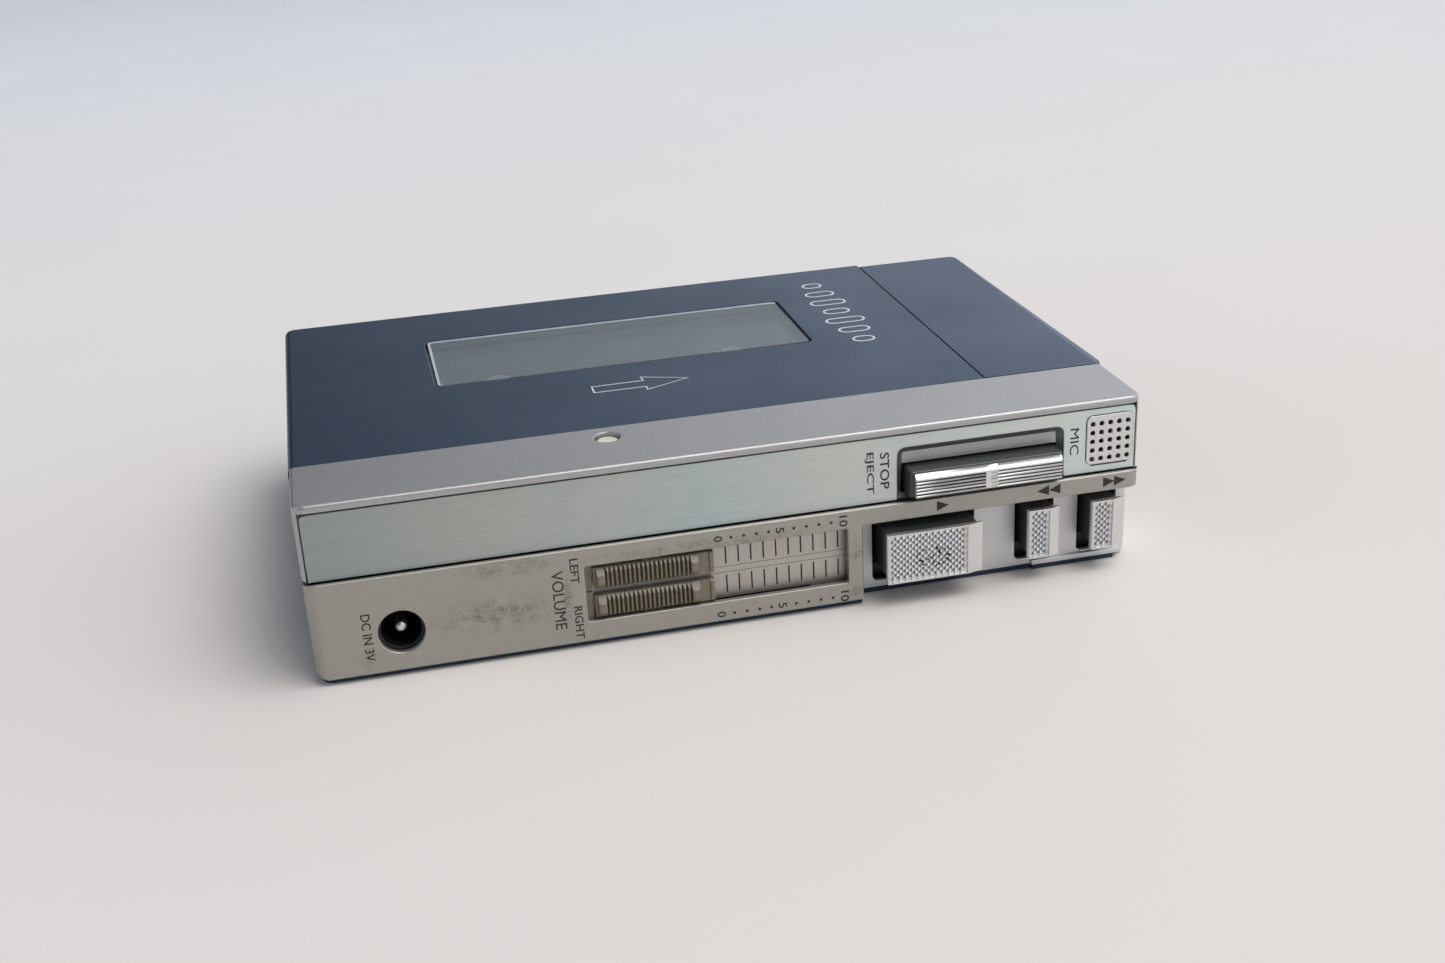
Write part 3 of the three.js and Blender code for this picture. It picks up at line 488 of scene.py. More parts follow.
HOLE_PITCH = 1.5
HOLE_RADIUS = 0.42
low, high = SITE.inverted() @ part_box("mic_grille")[0], SITE.inverted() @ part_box("mic_grille")[1]
bm = bmesh.new()
for column in range(-2, 3):
    for row in range(-2, 3):
        ring = bmesh.ops.create_circle(bm, segments=16, radius=HOLE_RADIUS)["verts"]
        grown = bmesh.ops.extrude_edge_only(bm, edges=list({e for v in ring for e in v.link_edges}))
        for vert in grown["geom"]:
            if isinstance(vert, bmesh.types.BMVert):
                vert.co *= HOLE_PITCH / 2 / max(abs(vert.co.x), abs(vert.co.y))
                ring.append(vert)
        bmesh.ops.translate(bm, verts=ring, vec=(127.98 + column * HOLE_PITCH,
                                                 22.41 + row * HOLE_PITCH, 0))
bmesh.ops.remove_doubles(bm, verts=bm.verts, dist=0.01)
rim = [e for e in bm.edges if e.is_boundary and max(
    abs((e.verts[0].co.x + e.verts[1].co.x) / 2 - 127.98),
    abs((e.verts[0].co.y + e.verts[1].co.y) / 2 - 22.41)) > 2.49 * HOLE_PITCH]
grown = bmesh.ops.extrude_edge_only(bm, edges=rim)["geom"]
for vert in grown:
    if isinstance(vert, bmesh.types.BMVert):
        across, up = vert.co.x - 127.98, vert.co.y - 22.41
        if abs(abs(across) - 2.5 * HOLE_PITCH) < 0.01:
            vert.co.x = high.x if across > 0 else low.x
        if abs(abs(up) - 2.5 * HOLE_PITCH) < 0.01:
            vert.co.y = high.z if up > 0 else low.z
bmesh.ops.rotate(bm, verts=bm.verts, matrix=Matrix.Rotation(math.pi / 2, 3, "X"))
bmesh.ops.translate(bm, verts=bm.verts, vec=(0, low.y, 0))
bmesh.ops.recalc_face_normals(bm, faces=bm.faces)
grown = bmesh.ops.extrude_face_region(bm, geom=bm.faces[:], use_keep_orig=True)["geom"]
bmesh.ops.translate(bm, verts=[g for g in grown if isinstance(g, bmesh.types.BMVert)],
                    vec=(0, high.y - low.y, 0))
bmesh.ops.recalc_face_normals(bm, faces=bm.faces)
for across, x in ((-1, low.x), (1, high.x)):
    for up, z in ((-1, low.z), (1, high.z)):
        round_corner(bm, x, z, across, up, 0.9)
make_piece("mic_grille_punched", bm, bright, "case", ["mic_grille"],
           lambda p: 0 if p.y > low.y + 0.1 else 0.06)

black, tree, shader, place = new_material(
    "abs_moulded_black", "black_plastic", IOR=1.53)
pores = add_node(tree, "TexNoise", {"Vector": place, "Scale": 1000 / 0.25, "Detail": 2.0})
tint = add_node(tree, "Mix", {0: pores.outputs["Fac"], 6: linear("0d0e0f"),
                              7: linear("191a1b")}, data_type="RGBA")
gloss = add_node(tree, "MapRange", {"Value": pores.outputs["Fac"], "To Min": 0.4, "To Max": 0.6})
grain = add_node(tree, "Bump", {"Height": pores.outputs["Fac"], "Strength": 0.2,
                                "Distance": 0.00003})
tree.links.new(tint.outputs[2], shader.inputs["Base Color"])
tree.links.new(gloss.outputs[0], shader.inputs["Roughness"])
tree.links.new(grain.outputs[0], shader.inputs["Normal"])
soften("mic_capsule", black, "case", 0.3)


# Stop button: a dark grey moulding that carries a machined bar, grooved along its front
# except for a plain square in the middle.
# Groove metal: darker than the bright bar, partly dust and partly painted shade in the grooves.
groove_dust_and_shade, tree, shader, place = new_material(
    "aluminium_dust_and_painted_shade", "bright_aluminium", Metallic=0.8)
dust = add_node(tree, "TexNoise", {"Vector": place, "Scale": 1000 / 0.5, "Detail": 3.0})
tint = add_node(tree, "Mix", {0: dust.outputs["Fac"], 6: linear("55555a"),
                              7: linear("77777b")}, data_type="RGBA")
gloss = add_node(tree, "MapRange", {"Value": dust.outputs["Fac"], "To Min": 0.4, "To Max": 0.6})
tree.links.new(tint.outputs[2], shader.inputs["Base Color"])
tree.links.new(gloss.outputs[0], shader.inputs["Roughness"])

grey, tree, shader, place = new_material("abs_moulded_dark_grey", "grey_plastic", IOR=1.53)
pores = add_node(tree, "TexNoise", {"Vector": place, "Scale": 1000 / 0.3, "Detail": 3.0})
tint = add_node(tree, "Mix", {0: pores.outputs["Fac"], 6: linear("383b39"),
                              7: linear("4a4d49")}, data_type="RGBA")
gloss = add_node(tree, "MapRange", {"Value": pores.outputs["Fac"], "To Min": 0.3, "To Max": 0.48})
tree.links.new(tint.outputs[2], shader.inputs["Base Color"])
tree.links.new(gloss.outputs[0], shader.inputs["Roughness"])
soften("stop_button", grey, "stop_button", lambda p: 0.45 if p.y < 0 or p.z > 22.2 else 0.1, 2)

GROOVE_DEPTH = 0.3
section = [(-1.05, 17.95), (-1.65, 17.95), (-2.0, 18.3)]
for groove in range(5):
    z = 18.7 + groove * 0.56
    section += [(-2.0, z - 0.13), (-2.0 + GROOVE_DEPTH, z), (-2.0, z + 0.13)]
section += [(-2.0, 21.42), (-1.45, 22.0), (-1.05, 22.0)]
bm = bmesh.new()
end = bm.faces.new([bm.verts.new((94.4, y, z)) for y, z in section])
for step in (0.3, 11.2, 0.05, 2.0, 0.05, 10.4, 0.3):
    grown = bmesh.ops.extrude_face_region(bm, geom=[end])["geom"]
    end = next(g for g in grown if isinstance(g, bmesh.types.BMFace))
    bmesh.ops.translate(bm, verts=end.verts, vec=(step, 0, 0))
for vert in bm.verts:
    if abs(vert.co.y + 2.0 - GROOVE_DEPTH) < 0.01 and (
            105.92 < vert.co.x < 107.98 or min(vert.co.x - 94.4, 118.7 - vert.co.x) < 0.1):
        vert.co.y = -2.0
bmesh.ops.recalc_face_normals(bm, faces=bm.faces)
# The groove facets and the lower chamfer take the darker metal: dust and painted shade.
for face in bm.faces:
    if face.normal.y < -0.1 and abs(face.normal.z) > 0.5 and face.calc_center_median().y < -1.8:
        face.material_index = 1
cap = make_piece("stop_button_cap_grooved", bm, bright, "stop_button", ["stop_button_cap"])
cap.data.materials.append(groove_dust_and_shade)


# Control panel: a blasted aluminium plate folded back at its ends, its lower corner
# rounded; it is worn and stained round the knobs and the supply jack.
blasted, tree, shader, place = new_material(
    "aluminium_bead_blasted", "blasted_aluminium", Metallic=0.8)
pits = add_node(tree, "TexNoise", {"Vector": place, "Scale": 1000 / 0.22, "Detail": 3.0})
cloud = add_node(tree, "TexNoise", {"Vector": place, "Scale": 1000 / 1.6, "Detail": 5.0,
                                    "Roughness": 0.7})
STAINS = [  # middle and half size in mm
    ((28, 0, 7.8), (10, 4, 3.0)), ((30, 0, 15.4), (7, 4, 1.3)), ((38.9, 0, 8.5), (0.9, 4, 5.0)), ((55, 0, 14.7), (12, 4, 0.9)),
    ((85, 0, 9.0), (1.4, 4, 2.2)), ((85, 0, 2.8), (1.8, 4, 1.2)), ((8.6, 0, 3.6), (1.6, 4, 1.6)),
    ((68, 0, 14.2), (9, 4, 0.8)),
]
stain_total = None
for middle, half in STAINS:
    spot = SITE @ Vector(middle)
    near = add_node(tree, "Mapping", {
        "Vector": place, "Location": [-c * 1000 / h for c, h in zip(spot, half)],
        "Scale": [1000 / h for h in half]})
    reach = add_node(tree, "VectorMath", {0: near.outputs[0]}, operation="LENGTH")
    fade = add_node(tree, "MapRange", {"Value": reach.outputs["Value"], "From Min": 1.3,
                                       "From Max": 0.2})
    if stain_total is None:
        stain_total = fade.outputs[0]
    else:
        stain_total = add_node(tree, "Math", {0: stain_total, 1: fade.outputs[0]},
                               operation="MAXIMUM").outputs[0]
blotch = add_node(tree, "MapRange", {"Value": cloud.outputs["Fac"], "From Min": 0.38,
                                     "From Max": 0.68})
speck = add_node(tree, "MapRange", {"Value": pits.outputs["Fac"], "From Min": 0.4,
                                    "From Max": 0.6})
grime = add_node(tree, "Math", {0: blotch.outputs[0], 1: speck.outputs[0]}, operation="MULTIPLY")
stain = add_node(tree, "Math", {0: stain_total, 1: grime.outputs[0]}, operation="MULTIPLY")
clean = add_node(tree, "Mix", {0: pits.outputs["Fac"], 6: linear("9d9993"),
                               7: linear("b6b2ab")}, data_type="RGBA")
tint = add_node(tree, "Mix", {0: stain.outputs[0], 6: clean.outputs[2],
                              7: linear("565249")}, data_type="RGBA")
gloss = add_node(tree, "MapRange", {"Value": cloud.outputs["Fac"], "From Min": 0.3,
                                    "From Max": 0.7, "To Min": 0.4, "To Max": 0.5})
grain = add_node(tree, "Bump", {"Height": pits.outputs["Fac"], "Strength": 0.35,
                                "Distance": 0.00004})
tree.links.new(tint.outputs[2], shader.inputs["Base Color"])
tree.links.new(gloss.outputs[0], shader.inputs["Roughness"])
tree.links.new(grain.outputs[0], shader.inputs["Normal"])


def panel_edge(p):
    if p.y > 0.3:
        return 0.1
    if p.z > 16.8:
        return 0.45
    if 41 < p.x < 84.5 and 4 < p.z < 14.2:
        return 0.25
    return 0.3


bm = copy_of("control_panel")
round_corner(bm, 0.3, 0.95, -1, -1, 2.0)
make_piece("control_panel_finished", bm, blasted, "case", ["control_panel"], panel_edge, 3)


# Volume scale: a thin blasted plate behind the slot, rubbed up and down by the knobs,
# with ten printed strokes for each knob.
rubbed, tree, shader, place = new_material(
    "aluminium_brushed_upright", "blasted_aluminium", Metallic=0.75)
upright = add_node(tree, "Mapping", {"Vector": place, "Scale": (1, 1, 0.03)})
lines = add_node(tree, "TexNoise", {"Vector": upright.outputs[0], "Scale": 1000 / 0.2,
                                    "Detail": 3.0})
tint = add_node(tree, "Mix", {0: lines.outputs["Fac"], 6: linear("b0aba6"),
                              7: linear("cbc6c1")}, data_type="RGBA")
gloss = add_node(tree, "MapRange", {"Value": lines.outputs["Fac"], "To Min": 0.38, "To Max": 0.5})
tree.links.new(tint.outputs[2], shader.inputs["Base Color"])
tree.links.new(gloss.outputs[0], shader.inputs["Roughness"])
soften("volume_scale", rubbed, "case", 0.06)

ink, tree, shader, place = new_material("ink_screen_printed", "black_plastic", IOR=1.5)
film = add_node(tree, "TexNoise", {"Vector": place, "Scale": 1000 / 0.3, "Detail": 3.0})
tint = add_node(tree, "Mix", {0: film.outputs["Fac"], 6: linear("1b1917"),
                              7: linear("2b2825")}, data_type="RGBA")
gloss = add_node(tree, "MapRange", {"Value": film.outputs["Fac"], "To Min": 0.45, "To Max": 0.65})
tree.links.new(tint.outputs[2], shader.inputs["Base Color"])
tree.links.new(gloss.outputs[0], shader.inputs["Roughness"])


SCALE_FRONT = 2.1
bm = bmesh.new()
for stroke in range(10):
    x = 64.45 + stroke * 2.024
    for low, high in ((9.9, 12.75), (4.95, 7.9)):
        add_block(bm, (x - 0.12, SCALE_FRONT - 0.03, low), (x + 0.12, SCALE_FRONT + 0.02, high))
make_piece("volume_strokes", bm, ink, "case")

# Two dark hairlines where the plate is stepped between the rows: painted shade of the steps.
bm = bmesh.new()
for z in (8.35, 9.35):
    add_block(bm, (62.3, SCALE_FRONT - 0.015, z), (84.6, SCALE_FRONT + 0.02, z + 0.07))
make_piece("volume_scale_steps", bm, grey, "case")


# Volume knobs: olive-brown mouldings with a boss at each end, a row of sharp ribs
# between them, and a plain block at the right. End stops fill the slot's left end.
olive, tree, shader, place = new_material("abs_moulded_olive", "olive_plastic", IOR=1.53)
flow = add_node(tree, "TexNoise", {"Vector": place, "Scale": 1000 / 0.5, "Detail": 4.0})
tint = add_node(tree, "Mix", {0: flow.outputs["Fac"], 6: linear("6b6453"),
                              7: linear("8b8371")}, data_type="RGBA")
gloss = add_node(tree, "MapRange", {"Value": flow.outputs["Fac"], "To Min": 0.22, "To Max": 0.36})
tree.links.new(tint.outputs[2], shader.inputs["Base Color"])
tree.links.new(gloss.outputs[0], shader.inputs["Roughness"])

RIB_PITCH = 0.7
KNOB_BACK = 1.7
for side, middle, stem in (("left", 11.4, 14.5), ("right", 6.6, 3.5)):
    low, high = middle - 2, middle + 1.6
    outline = [(43.3, KNOB_BACK), (43.3, 0.8), (43.55, 0.75), (43.75, 0.75), (43.75, -0.15),
               (43.95, -0.35), (44.8, -0.35), (45.0, -0.15), (45.0, 0.85)]
    for rib in range(19):
        x = 45.15 + rib * RIB_PITCH
        outline += [(x, 0.85), (x + 0.22, 0.08), (x + 0.42, 0.08), (x + 0.67, 0.85)]
    outline += [(58.55, -0.15), (58.75, -0.35), (59.5, -0.35), (59.7, -0.15), (59.8, 0.7),
                (61.45, 0.75), (61.6, 0.5), (62.05, 0.5), (62.2, 0.6), (62.2, KNOB_BACK)]
    bm = bmesh.new()
    face = bm.faces.new([bm.verts.new((x, y, low)) for x, y in outline])
    grown = bmesh.ops.extrude_face_region(bm, geom=[face])["geom"]
    bmesh.ops.translate(bm, verts=[g for g in grown if isinstance(g, bmesh.types.BMVert)],
                        vec=(0, 0, high - low))
    bmesh.ops.recalc_face_normals(bm, faces=bm.faces)
    for up, z in ((1, high), (-1, low)):
        cut = bmesh.ops.bisect_plane(
            bm, geom=bm.verts[:] + bm.edges[:] + bm.faces[:], plane_co=(0, 0.72, z),
            plane_no=(0, -1, up), clear_outer=True)
        rim = [g for g in cut["geom_cut"] if isinstance(g, bmesh.types.BMEdge)]
        bmesh.ops.holes_fill(bm, edges=rim, sides=0)
    add_block(bm, (51, 1.15, min(middle, stem - 0.3)), (54, 1.65, max(middle, stem + 0.3)))
    add_block(bm, (51, 1.2, stem - 0.3), (54, 3.7, stem + 0.3))
    make_piece(f"volume_knob_{side}_ribbed", bm, olive, f"volume_{side}",
               [f"volume_knob_{side}"])

bm = bmesh.new()
add_block(bm, (41.4, 1.2, 4.0), (43.05, 2.05, 8.75))
add_block(bm, (41.4, 1.2, 8.95), (43.05, 2.05, 14.0))
make_piece("volume_end_stops", bm, olive, "case", radius=0.12)


# Supply jack: a black socket behind a round hole, with a plated pin in its middle.
soften("supply_jack", black, "case", 0.1)
bm = bmesh.new()
profile = [(0.0, 1.5), (0.45, 1.55), (0.78, 1.8), (0.92, 2.3), (0.92, 10.2), (0.0, 10.2)]
line = [bm.verts.new((13.7 + r, y, 7.4)) for r, y in profile]
edges = [bm.edges.new(pair) for pair in zip(line, line[1:])]
bmesh.ops.spin(bm, geom=line + edges, cent=(13.7, 0, 7.4), axis=(0, 1, 0),
               angle=math.tau, steps=20, use_merge=True)
bmesh.ops.remove_doubles(bm, verts=bm.verts, dist=0.001)
bmesh.ops.recalc_face_normals(bm, faces=bm.faces)
make_piece("supply_jack_pin", bm, bright, "case")


# Key plate: the blasted plate that the three transport keys come through, with a short
# shelf along part of its lower edge.
# Painted light and painted reflection: the plate is a paler, cooler copy of the panel's blasted aluminium,
# lifting the shade under the keys.
key_plate_painted_light, tree, shader, place = new_material(
    "aluminium_blasted_painted_light", "blasted_aluminium", Metallic=0.6)
pits = add_node(tree, "TexNoise", {"Vector": place, "Scale": 1000 / 0.25, "Detail": 3.0})
tint = add_node(tree, "Mix", {0: pits.outputs["Fac"], 6: linear("c9cacb"),
                              7: linear("dededf")}, data_type="RGBA")
gloss = add_node(tree, "MapRange", {"Value": pits.outputs["Fac"], "To Min": 0.36, "To Max": 0.48})
grain = add_node(tree, "Bump", {"Height": pits.outputs["Fac"], "Strength": 0.25,
                                "Distance": 0.00003})
tree.links.new(tint.outputs[2], shader.inputs["Base Color"])
tree.links.new(gloss.outputs[0], shader.inputs["Roughness"])
tree.links.new(grain.outputs[0], shader.inputs["Normal"])
bm = copy_of("key_plate")
for vert in bm.verts:
    vert.co.y = max(vert.co.y, 3.0)
make_piece("key_plate_finished", bm, key_plate_painted_light, "case", ["key_plate"], 0.12)


# Transport keys: dark grey mouldings faced with bright caps, knurled into small
# pyramids, and with a plain margin that slopes back at the right.
pitted, tree, shader, place = new_material(
    "aluminium_knurled_plated", "bright_aluminium", Metallic=1.0)
turned = add_node(tree, "TexNoise", {"Vector": place, "Scale": 1000 / 0.4, "Detail": 3.0})
cells = add_node(tree, "TexVoronoi", {"Vector": place, "Scale": 1000 / 0.5})
worn = add_node(tree, "SeparateColor", {"Color": cells.outputs["Color"]})
chance = add_node(tree, "Math", {0: worn.outputs[0], 1: 0.42}, operation="GREATER_THAN")
spot = SITE @ Vector((97.2, -2.4, 7.9))
near = add_node(tree, "Mapping", {
    "Vector": place, "Scale": (1000 / 3.4, 1000 / 3, 1000 / 1.7),
    "Location": (-spot.x * 1000 / 3.4, -spot.y * 1000 / 3, -spot.z * 1000 / 1.7)})
reach = add_node(tree, "VectorMath", {0: near.outputs[0]}, operation="LENGTH")
fade = add_node(tree, "Math", {0: reach.outputs["Value"], 1: 1.0}, operation="LESS_THAN")
size = add_node(tree, "Math", {0: cells.outputs["Distance"], 1: 0.42}, operation="LESS_THAN")
pit = add_node(tree, "Math", {0: chance.outputs[0], 1: fade.outputs[0]}, operation="MULTIPLY")
pit = add_node(tree, "Math", {0: pit.outputs[0], 1: size.outputs[0]}, operation="MULTIPLY")
clean = add_node(tree, "Mix", {0: turned.outputs["Fac"], 6: linear("c9cacb"),
                               7: linear("e3e2e1")}, data_type="RGBA")
tint = add_node(tree, "Mix", {0: pit.outputs[0], 6: clean.outputs[2],
                              7: linear("24221f")}, data_type="RGBA")
gloss = add_node(tree, "MapRange", {"Value": turned.outputs["Fac"], "To Min": 0.26, "To Max": 0.4})
tree.links.new(tint.outputs[2], shader.inputs["Base Color"])
tree.links.new(gloss.outputs[0], shader.inputs["Roughness"])

KNURL_PITCH = 0.52
KNURL_DEPTH = 0.26
KEY_LOW, KEY_HIGH = 4.1, 12.6
for key, left, right, front, margin in (("play", 89.5, 105.5, -2.4, 2.4),
                                        ("rewind", 113.8, 119.2, -0.8, 1.6),
                                        ("fast_forward", 124.7, 130.1, -0.8, 1.6)):
    soften(f"{key}_key", grey, f"{key}_key", 0.3)
    bm = bmesh.new()
    outline = [(left, front + 0.18), (left + 0.18, front), (right - margin, front),
               (right, front + 0.63), (right, front + 0.9), (left, front + 0.9)]
    face = bm.faces.new([bm.verts.new((x, y, KEY_LOW)) for x, y in outline])
    grown = bmesh.ops.extrude_face_region(bm, geom=[face])["geom"]
    bmesh.ops.translate(bm, verts=[g for g in grown if isinstance(g, bmesh.types.BMVert)],
                        vec=(0, 0, KEY_HIGH - KEY_LOW))
    bmesh.ops.recalc_face_normals(bm, faces=bm.faces)
    pad = next(f for f in bm.faces if f.normal.y < -0.99)
    bmesh.ops.inset_region(bm, faces=[pad], thickness=0.22, use_even_offset=True)
    bmesh.ops.inset_region(bm, faces=[pad], thickness=0.08, use_even_offset=True)
    bmesh.ops.translate(bm, verts=pad.verts, vec=(0, KNURL_DEPTH, 0))
    wide = right - margin - left - 0.78
    tall = KEY_HIGH - KEY_LOW - 0.6
    columns, rows = round(wide / KNURL_PITCH), round(tall / KNURL_PITCH)
    floor_y = front + KNURL_DEPTH
    sides = [e for e in pad.edges if abs(e.verts[0].co.z - e.verts[1].co.z) < 0.01]
    bmesh.ops.subdivide_edges(bm, edges=sides, cuts=columns - 1,
                              use_grid_fill=True)
    sides = [e for e in bm.edges
             if all(abs(v.co.y - floor_y) < 0.001 for v in e.verts)
             and abs(e.verts[0].co.x - e.verts[1].co.x) < 0.001
             and abs(e.verts[0].co.z - e.verts[1].co.z) > tall - 0.1]
    bmesh.ops.subdivide_edges(bm, edges=sides, cuts=rows - 1,
                              use_grid_fill=True)
    tips, valleys = [], []
    for vert in bm.verts:
        if abs(vert.co.y - floor_y) > 0.001:
            continue
        column = round((vert.co.x - left - 0.48) / wide * columns)
        row = round((vert.co.z - KEY_LOW - 0.3) / tall * rows)
        if (column + row) % 2:
            valleys.append(vert)
        elif 0 < column < columns and 0 < row < rows:
            tips.append(vert)
    bmesh.ops.connect_verts(bm, verts=valleys)
    bmesh.ops.translate(bm, verts=tips, vec=(0, -KNURL_DEPTH, 0))
    for tip in tips:
        for face in tip.link_faces:
            face.material_index = 1
    cap = make_piece(f"{key}_key_cap_knurled", bm, bright, f"{key}_key", [f"{key}_key_cap"])
    cap.data.materials.append(pitted)


# Lettering: plain sans-serif words, numbers and tape symbols, screen printed in dark
# ink on the panel and the strip. It reads downwards, as the player hangs from a strap.
def print_word(bm, word, front, x_low, x_high, z_low, z_high):
    """Adds a word whose letters fill the given rectangle on a wall that faces the front."""
    text = bpy.data.objects.new("word", bpy.data.curves.new("word", "FONT"))
    text.data.body = word
    text.data.extrude = 0.1
    text.data.resolution_u = 3
    text.data.offset = 0 if "M" in word else 0.008  # thicker strokes would fill an M in
    scene.collection.objects.link(text)
    made = bmesh.new()
    mesh = text.to_mesh()
    made.from_mesh(mesh)
    text.to_mesh_clear()
    bpy.data.objects.remove(text)
    low = Vector([min(v.co[axis] for v in made.verts) for axis in range(3)])
    high = Vector([max(v.co[axis] for v in made.verts) for axis in range(3)])
    for vert in made.verts:
        along, across, out = [(vert.co[a] - low[a]) / (high[a] - low[a]) for a in range(3)]
        vert.co = (x_low + across * (x_high - x_low), front + 0.02 - out * 0.05,
                   z_high - along * (z_high - z_low))
    bmesh.ops.remove_doubles(made, verts=made.verts, dist=0.001)
    mesh = bpy.data.meshes.new("word")
    made.to_mesh(mesh)
    made.free()
    bm.from_mesh(mesh)
    bpy.data.meshes.remove(mesh)


bm = bmesh.new()
for word, x_low, x_high, z_low, z_high in (
        ("VOLUME", 36.8, 38.6, 3.8, 13.7), ("LEFT", 39.75, 41.05, 11.2, 15.4),
        ("RIGHT", 39.85, 41.15, 1.75, 7.3), ("DC IN 3V", 7.9, 9.3, 3.3, 11.15),
        ("0", 62.25, 63.6, 14.75, 15.7), ("5", 72.15, 73.5, 14.75, 15.7),
        ("10", 82.4, 83.75, 14.3, 16.15), ("0", 62.25, 63.6, 1.7, 2.65),
        ("5", 72.15, 73.5, 1.7, 2.65), ("10", 82.4, 83.75, 1.2, 3.05)):
    print_word(bm, word, 0, x_low, x_high, z_low, z_high)
for z in (15.25, 2.15):
    for step in (65.0, 67.03, 69.06, 71.0, 75.05, 77.08, 79.11, 81.1):
        dot = bmesh.ops.create_cone(bm, cap_ends=True, segments=12, radius1=0.24, radius2=0.24,
                                    depth=0.05)["verts"]
        bmesh.ops.rotate(bm, verts=dot, matrix=Matrix.Rotation(math.pi / 2, 3, "X"))
        bmesh.ops.translate(bm, verts=dot, vec=(step, -0.005, z))
for tip, way in ((100.5, 1), (115.4, -1), (117.35, -1), (128.7, 1), (130.6, 1)):
    corners = [(tip, 15.5), (tip - way * 2.0, 16.35), (tip - way * 2.0, 14.65)]
    face = bm.faces.new([bm.verts.new((x, 0.02, z)) for x, z in corners])
    grown = bmesh.ops.extrude_face_region(bm, geom=[face])["geom"]
    bmesh.ops.translate(bm, verts=[g for g in grown if isinstance(g, bmesh.types.BMVert)],
                        vec=(0, -0.05, 0))
bmesh.ops.recalc_face_normals(bm, faces=bm.faces)
make_piece("panel_lettering", bm, ink, "case")

bm = bmesh.new()
for word, x_low, x_high, z_low, z_high in (
        ("STOP", 89.5, 91.0, 19.25, 25.4), ("EJECT", 87.0, 88.5, 18.75, 25.7),
        ("MIC", 121.2, 122.7, 20.6, 25.05)):
    print_word(bm, word, 1, x_low, x_high, z_low, z_high)
bmesh.ops.recalc_face_normals(bm, faces=bm.faces)
make_piece("strip_lettering", bm, ink, "case")


# Right end: two black phone jacks, the orange talk button and the tone slider.
for jack in ("phone_jack_a", "phone_jack_b"):
    soften(jack, black, "case", 0.15)
orange, tree, shader, place = new_material(
    "abs_moulded_orange", "orange_plastic", IOR=1.53)
pores = add_node(tree, "TexNoise", {"Vector": place, "Scale": 1000 / 0.4, "Detail": 3.0})
tint = add_node(tree, "Mix", {0: pores.outputs["Fac"], 6: linear("d24a16"),
                              7: linear("e2602a")}, data_type="RGBA")
gloss = add_node(tree, "MapRange", {"Value": pores.outputs["Fac"], "To Min": 0.28, "To Max": 0.42})
tree.links.new(tint.outputs[2], shader.inputs["Base Color"])
tree.links.new(gloss.outputs[0], shader.inputs["Roughness"])
soften("talk_button", orange, "talk_button", lambda p: 0.6 if p.x > 134.5 else 0.1, 3)
soften("tone_switch", black, "tone_switch", 0.25, 2)


# Deck and mechanism: a plated steel deck under the lid, with the moulded reels, the
# head on its carriage, the pinch roller, and the motor and flywheel below.
steel, tree, shader, place = new_material("steel_zinc_plated", "steel", Metallic=0.95)
spangle = add_node(tree, "TexNoise", {"Vector": place, "Scale": 1000 / 1.5, "Detail": 4.0})
tint = add_node(tree, "Mix", {0: spangle.outputs["Fac"], 6: linear("8b8e90"),
                              7: linear("aaadae")}, data_type="RGBA")
gloss = add_node(tree, "MapRange", {"Value": spangle.outputs["Fac"], "To Min": 0.25, "To Max": 0.42})
tree.links.new(tint.outputs[2], shader.inputs["Base Color"])
tree.links.new(gloss.outputs[0], shader.inputs["Roughness"])

acetal, tree, shader, place = new_material(
    "acetal_moulded_white", "white_plastic", Roughness=0.35, IOR=1.48)
cloud = add_node(tree, "TexNoise", {"Vector": place, "Scale": 1000 / 3, "Detail": 3.0})
tint = add_node(tree, "Mix", {0: cloud.outputs["Fac"], 6: linear("dedccf"),
                              7: linear("ecebe2")}, data_type="RGBA")
tree.links.new(tint.outputs[2], shader.inputs["Base Color"])

brass, tree, shader, place = new_material("brass_turned", "brass", Metallic=1.0)
turned = add_node(tree, "TexNoise", {"Vector": place, "Scale": 1000 / 0.5, "Detail": 3.0})
tint = add_node(tree, "Mix", {0: turned.outputs["Fac"], 6: linear("a9853e"),
                              7: linear("c9a65c")}, data_type="RGBA")
gloss = add_node(tree, "MapRange", {"Value": turned.outputs["Fac"], "To Min": 0.22, "To Max": 0.38})
tree.links.new(tint.outputs[2], shader.inputs["Base Color"])
tree.links.new(gloss.outputs[0], shader.inputs["Roughness"])

rubber, tree, shader, place = new_material("rubber_nitrile_ground", "rubber", IOR=1.52)
dust = add_node(tree, "TexNoise", {"Vector": place, "Scale": 1000 / 0.3, "Detail": 3.0})
tint = add_node(tree, "Mix", {0: dust.outputs["Fac"], 6: linear("101010"),
                              7: linear("222120")}, data_type="RGBA")
gloss = add_node(tree, "MapRange", {"Value": dust.outputs["Fac"], "To Min": 0.75, "To Max": 0.95})
tree.links.new(tint.outputs[2], shader.inputs["Base Color"])
tree.links.new(gloss.outputs[0], shader.inputs["Roughness"])

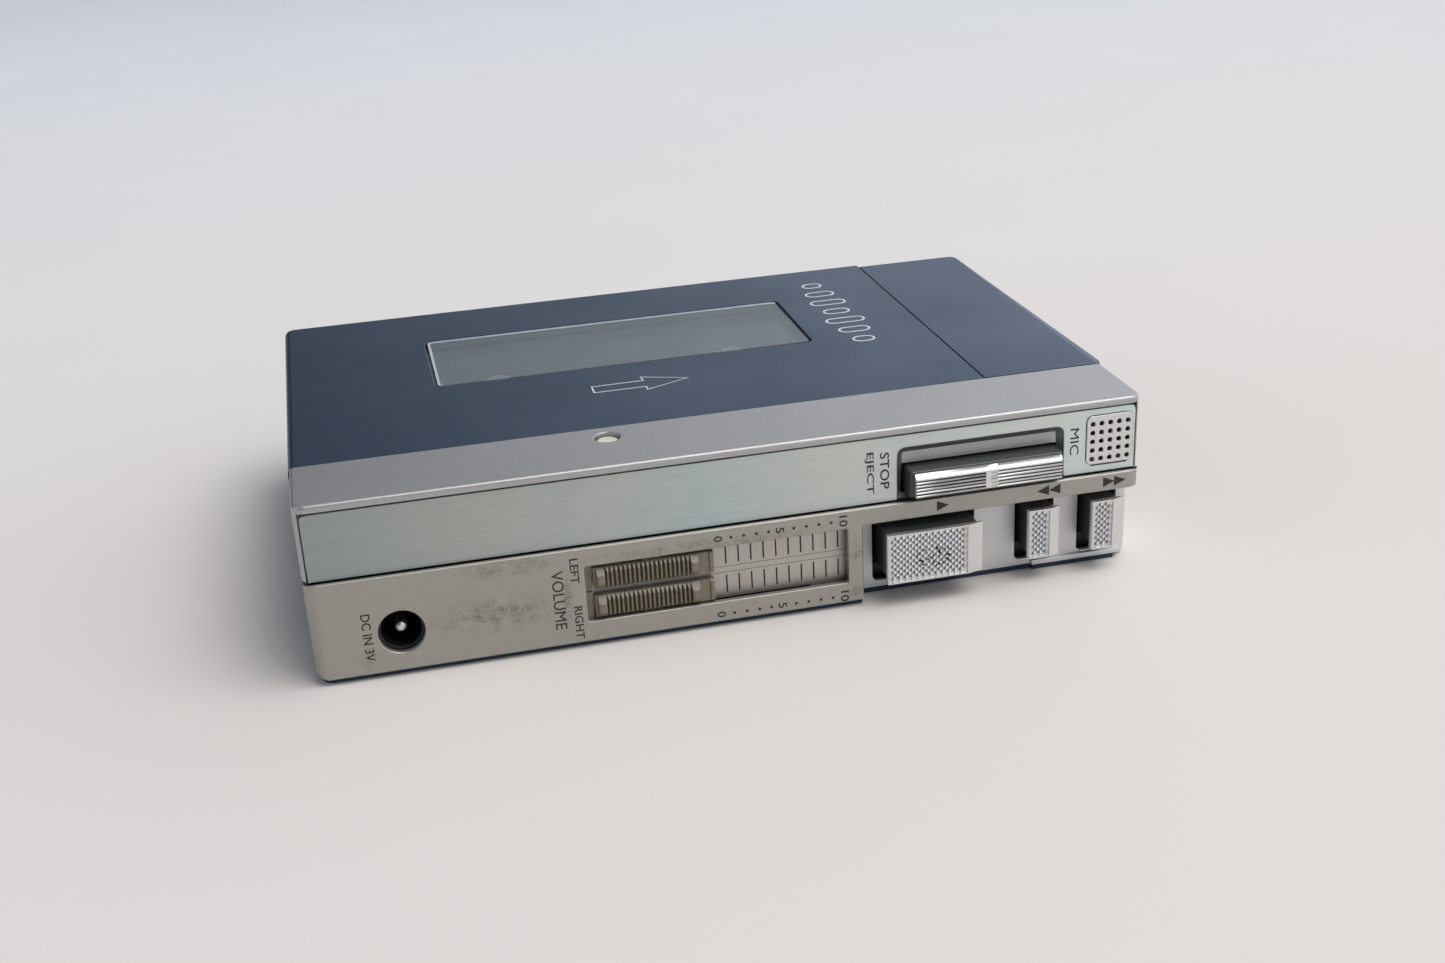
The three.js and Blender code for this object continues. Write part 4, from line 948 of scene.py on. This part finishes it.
for node, material, body, radius in (
        ("deck_plate", steel, "case", 0.2), ("cassette_holder", steel, "lid", 0.15),
        ("lid_catch", steel, "lid", 0.12), ("supply_reel", acetal, "supply_reel", 0.15),
        ("take_up_reel", acetal, "take_up_reel", 0.15), ("flywheel", brass, "flywheel", 0.2),
        ("idler_wheel", rubber, "idler_wheel", 0.2), ("motor", steel, "case", 0.4),
        ("motor_pulley", brass, "motor_pulley", 0.15), ("drive_belt", rubber, "case", 0.15),
        ("head_carriage", steel, "head_carriage", 0.12),
        ("playback_head", bright, "head_carriage", 0.2),
        ("pinch_roller", rubber, "pinch_roller", 0.15), ("key_guide", black, "case", 0.1),
        ("volume_control_left", steel, "case", 0.15),
        ("volume_control_right", steel, "case", 0.15),
        ("hinge_pin_left", steel, "case", 0.1), ("hinge_pin_right", steel, "case", 0.1)):
    soften(node, material, body, radius)


# Amplifier board: green glass-epoxy board at the right.
board, tree, shader, place = new_material("glass_epoxy_board", "circuit_board", IOR=1.55)
weave = add_node(tree, "TexNoise", {"Vector": place, "Scale": 1000 / 0.8, "Detail": 3.0})
tint = add_node(tree, "Mix", {0: weave.outputs["Fac"], 6: linear("2f4a2d"),
                              7: linear("46653f")}, data_type="RGBA")
gloss = add_node(tree, "MapRange", {"Value": weave.outputs["Fac"], "To Min": 0.3, "To Max": 0.5})
tree.links.new(tint.outputs[2], shader.inputs["Base Color"])
tree.links.new(gloss.outputs[0], shader.inputs["Roughness"])
soften("amplifier_board", board, "case", 0.1)


# Battery bay: two wrapped cells under a black cradle, steel contacts, and a navy door
# that slides off to the left.
wrap, tree, shader, place = new_material("foil_wrap_grey", "cell_wrap", Metallic=0.4, IOR=1.5)
scuff = add_node(tree, "TexNoise", {"Vector": place, "Scale": 1000 / 4, "Detail": 4.0})
tint = add_node(tree, "Mix", {0: scuff.outputs["Fac"], 6: linear("5f6167"),
                              7: linear("7c7e84")}, data_type="RGBA")
gloss = add_node(tree, "MapRange", {"Value": scuff.outputs["Fac"], "To Min": 0.3, "To Max": 0.5})
tree.links.new(tint.outputs[2], shader.inputs["Base Color"])
tree.links.new(gloss.outputs[0], shader.inputs["Roughness"])
for node, material, body, radius in (
        ("battery_cell_a", wrap, "case", 0.6), ("battery_cell_b", wrap, "case", 0.6),
        ("battery_spring", steel, "case", 0.1), ("battery_contact", steel, "case", 0.1),
        ("battery_cradle", black, "case", 0.2), ("battery_door", navy, "battery_door", 0.15)):
    soften(node, material, body, radius)


# Screws: plated pan heads with a single slot.
for number in (1, 2, 3):
    soften(f"case_screw_{number}", steel, "case", 0.15)
    soften(f"deck_screw_{number}", steel, "case", 0.15)
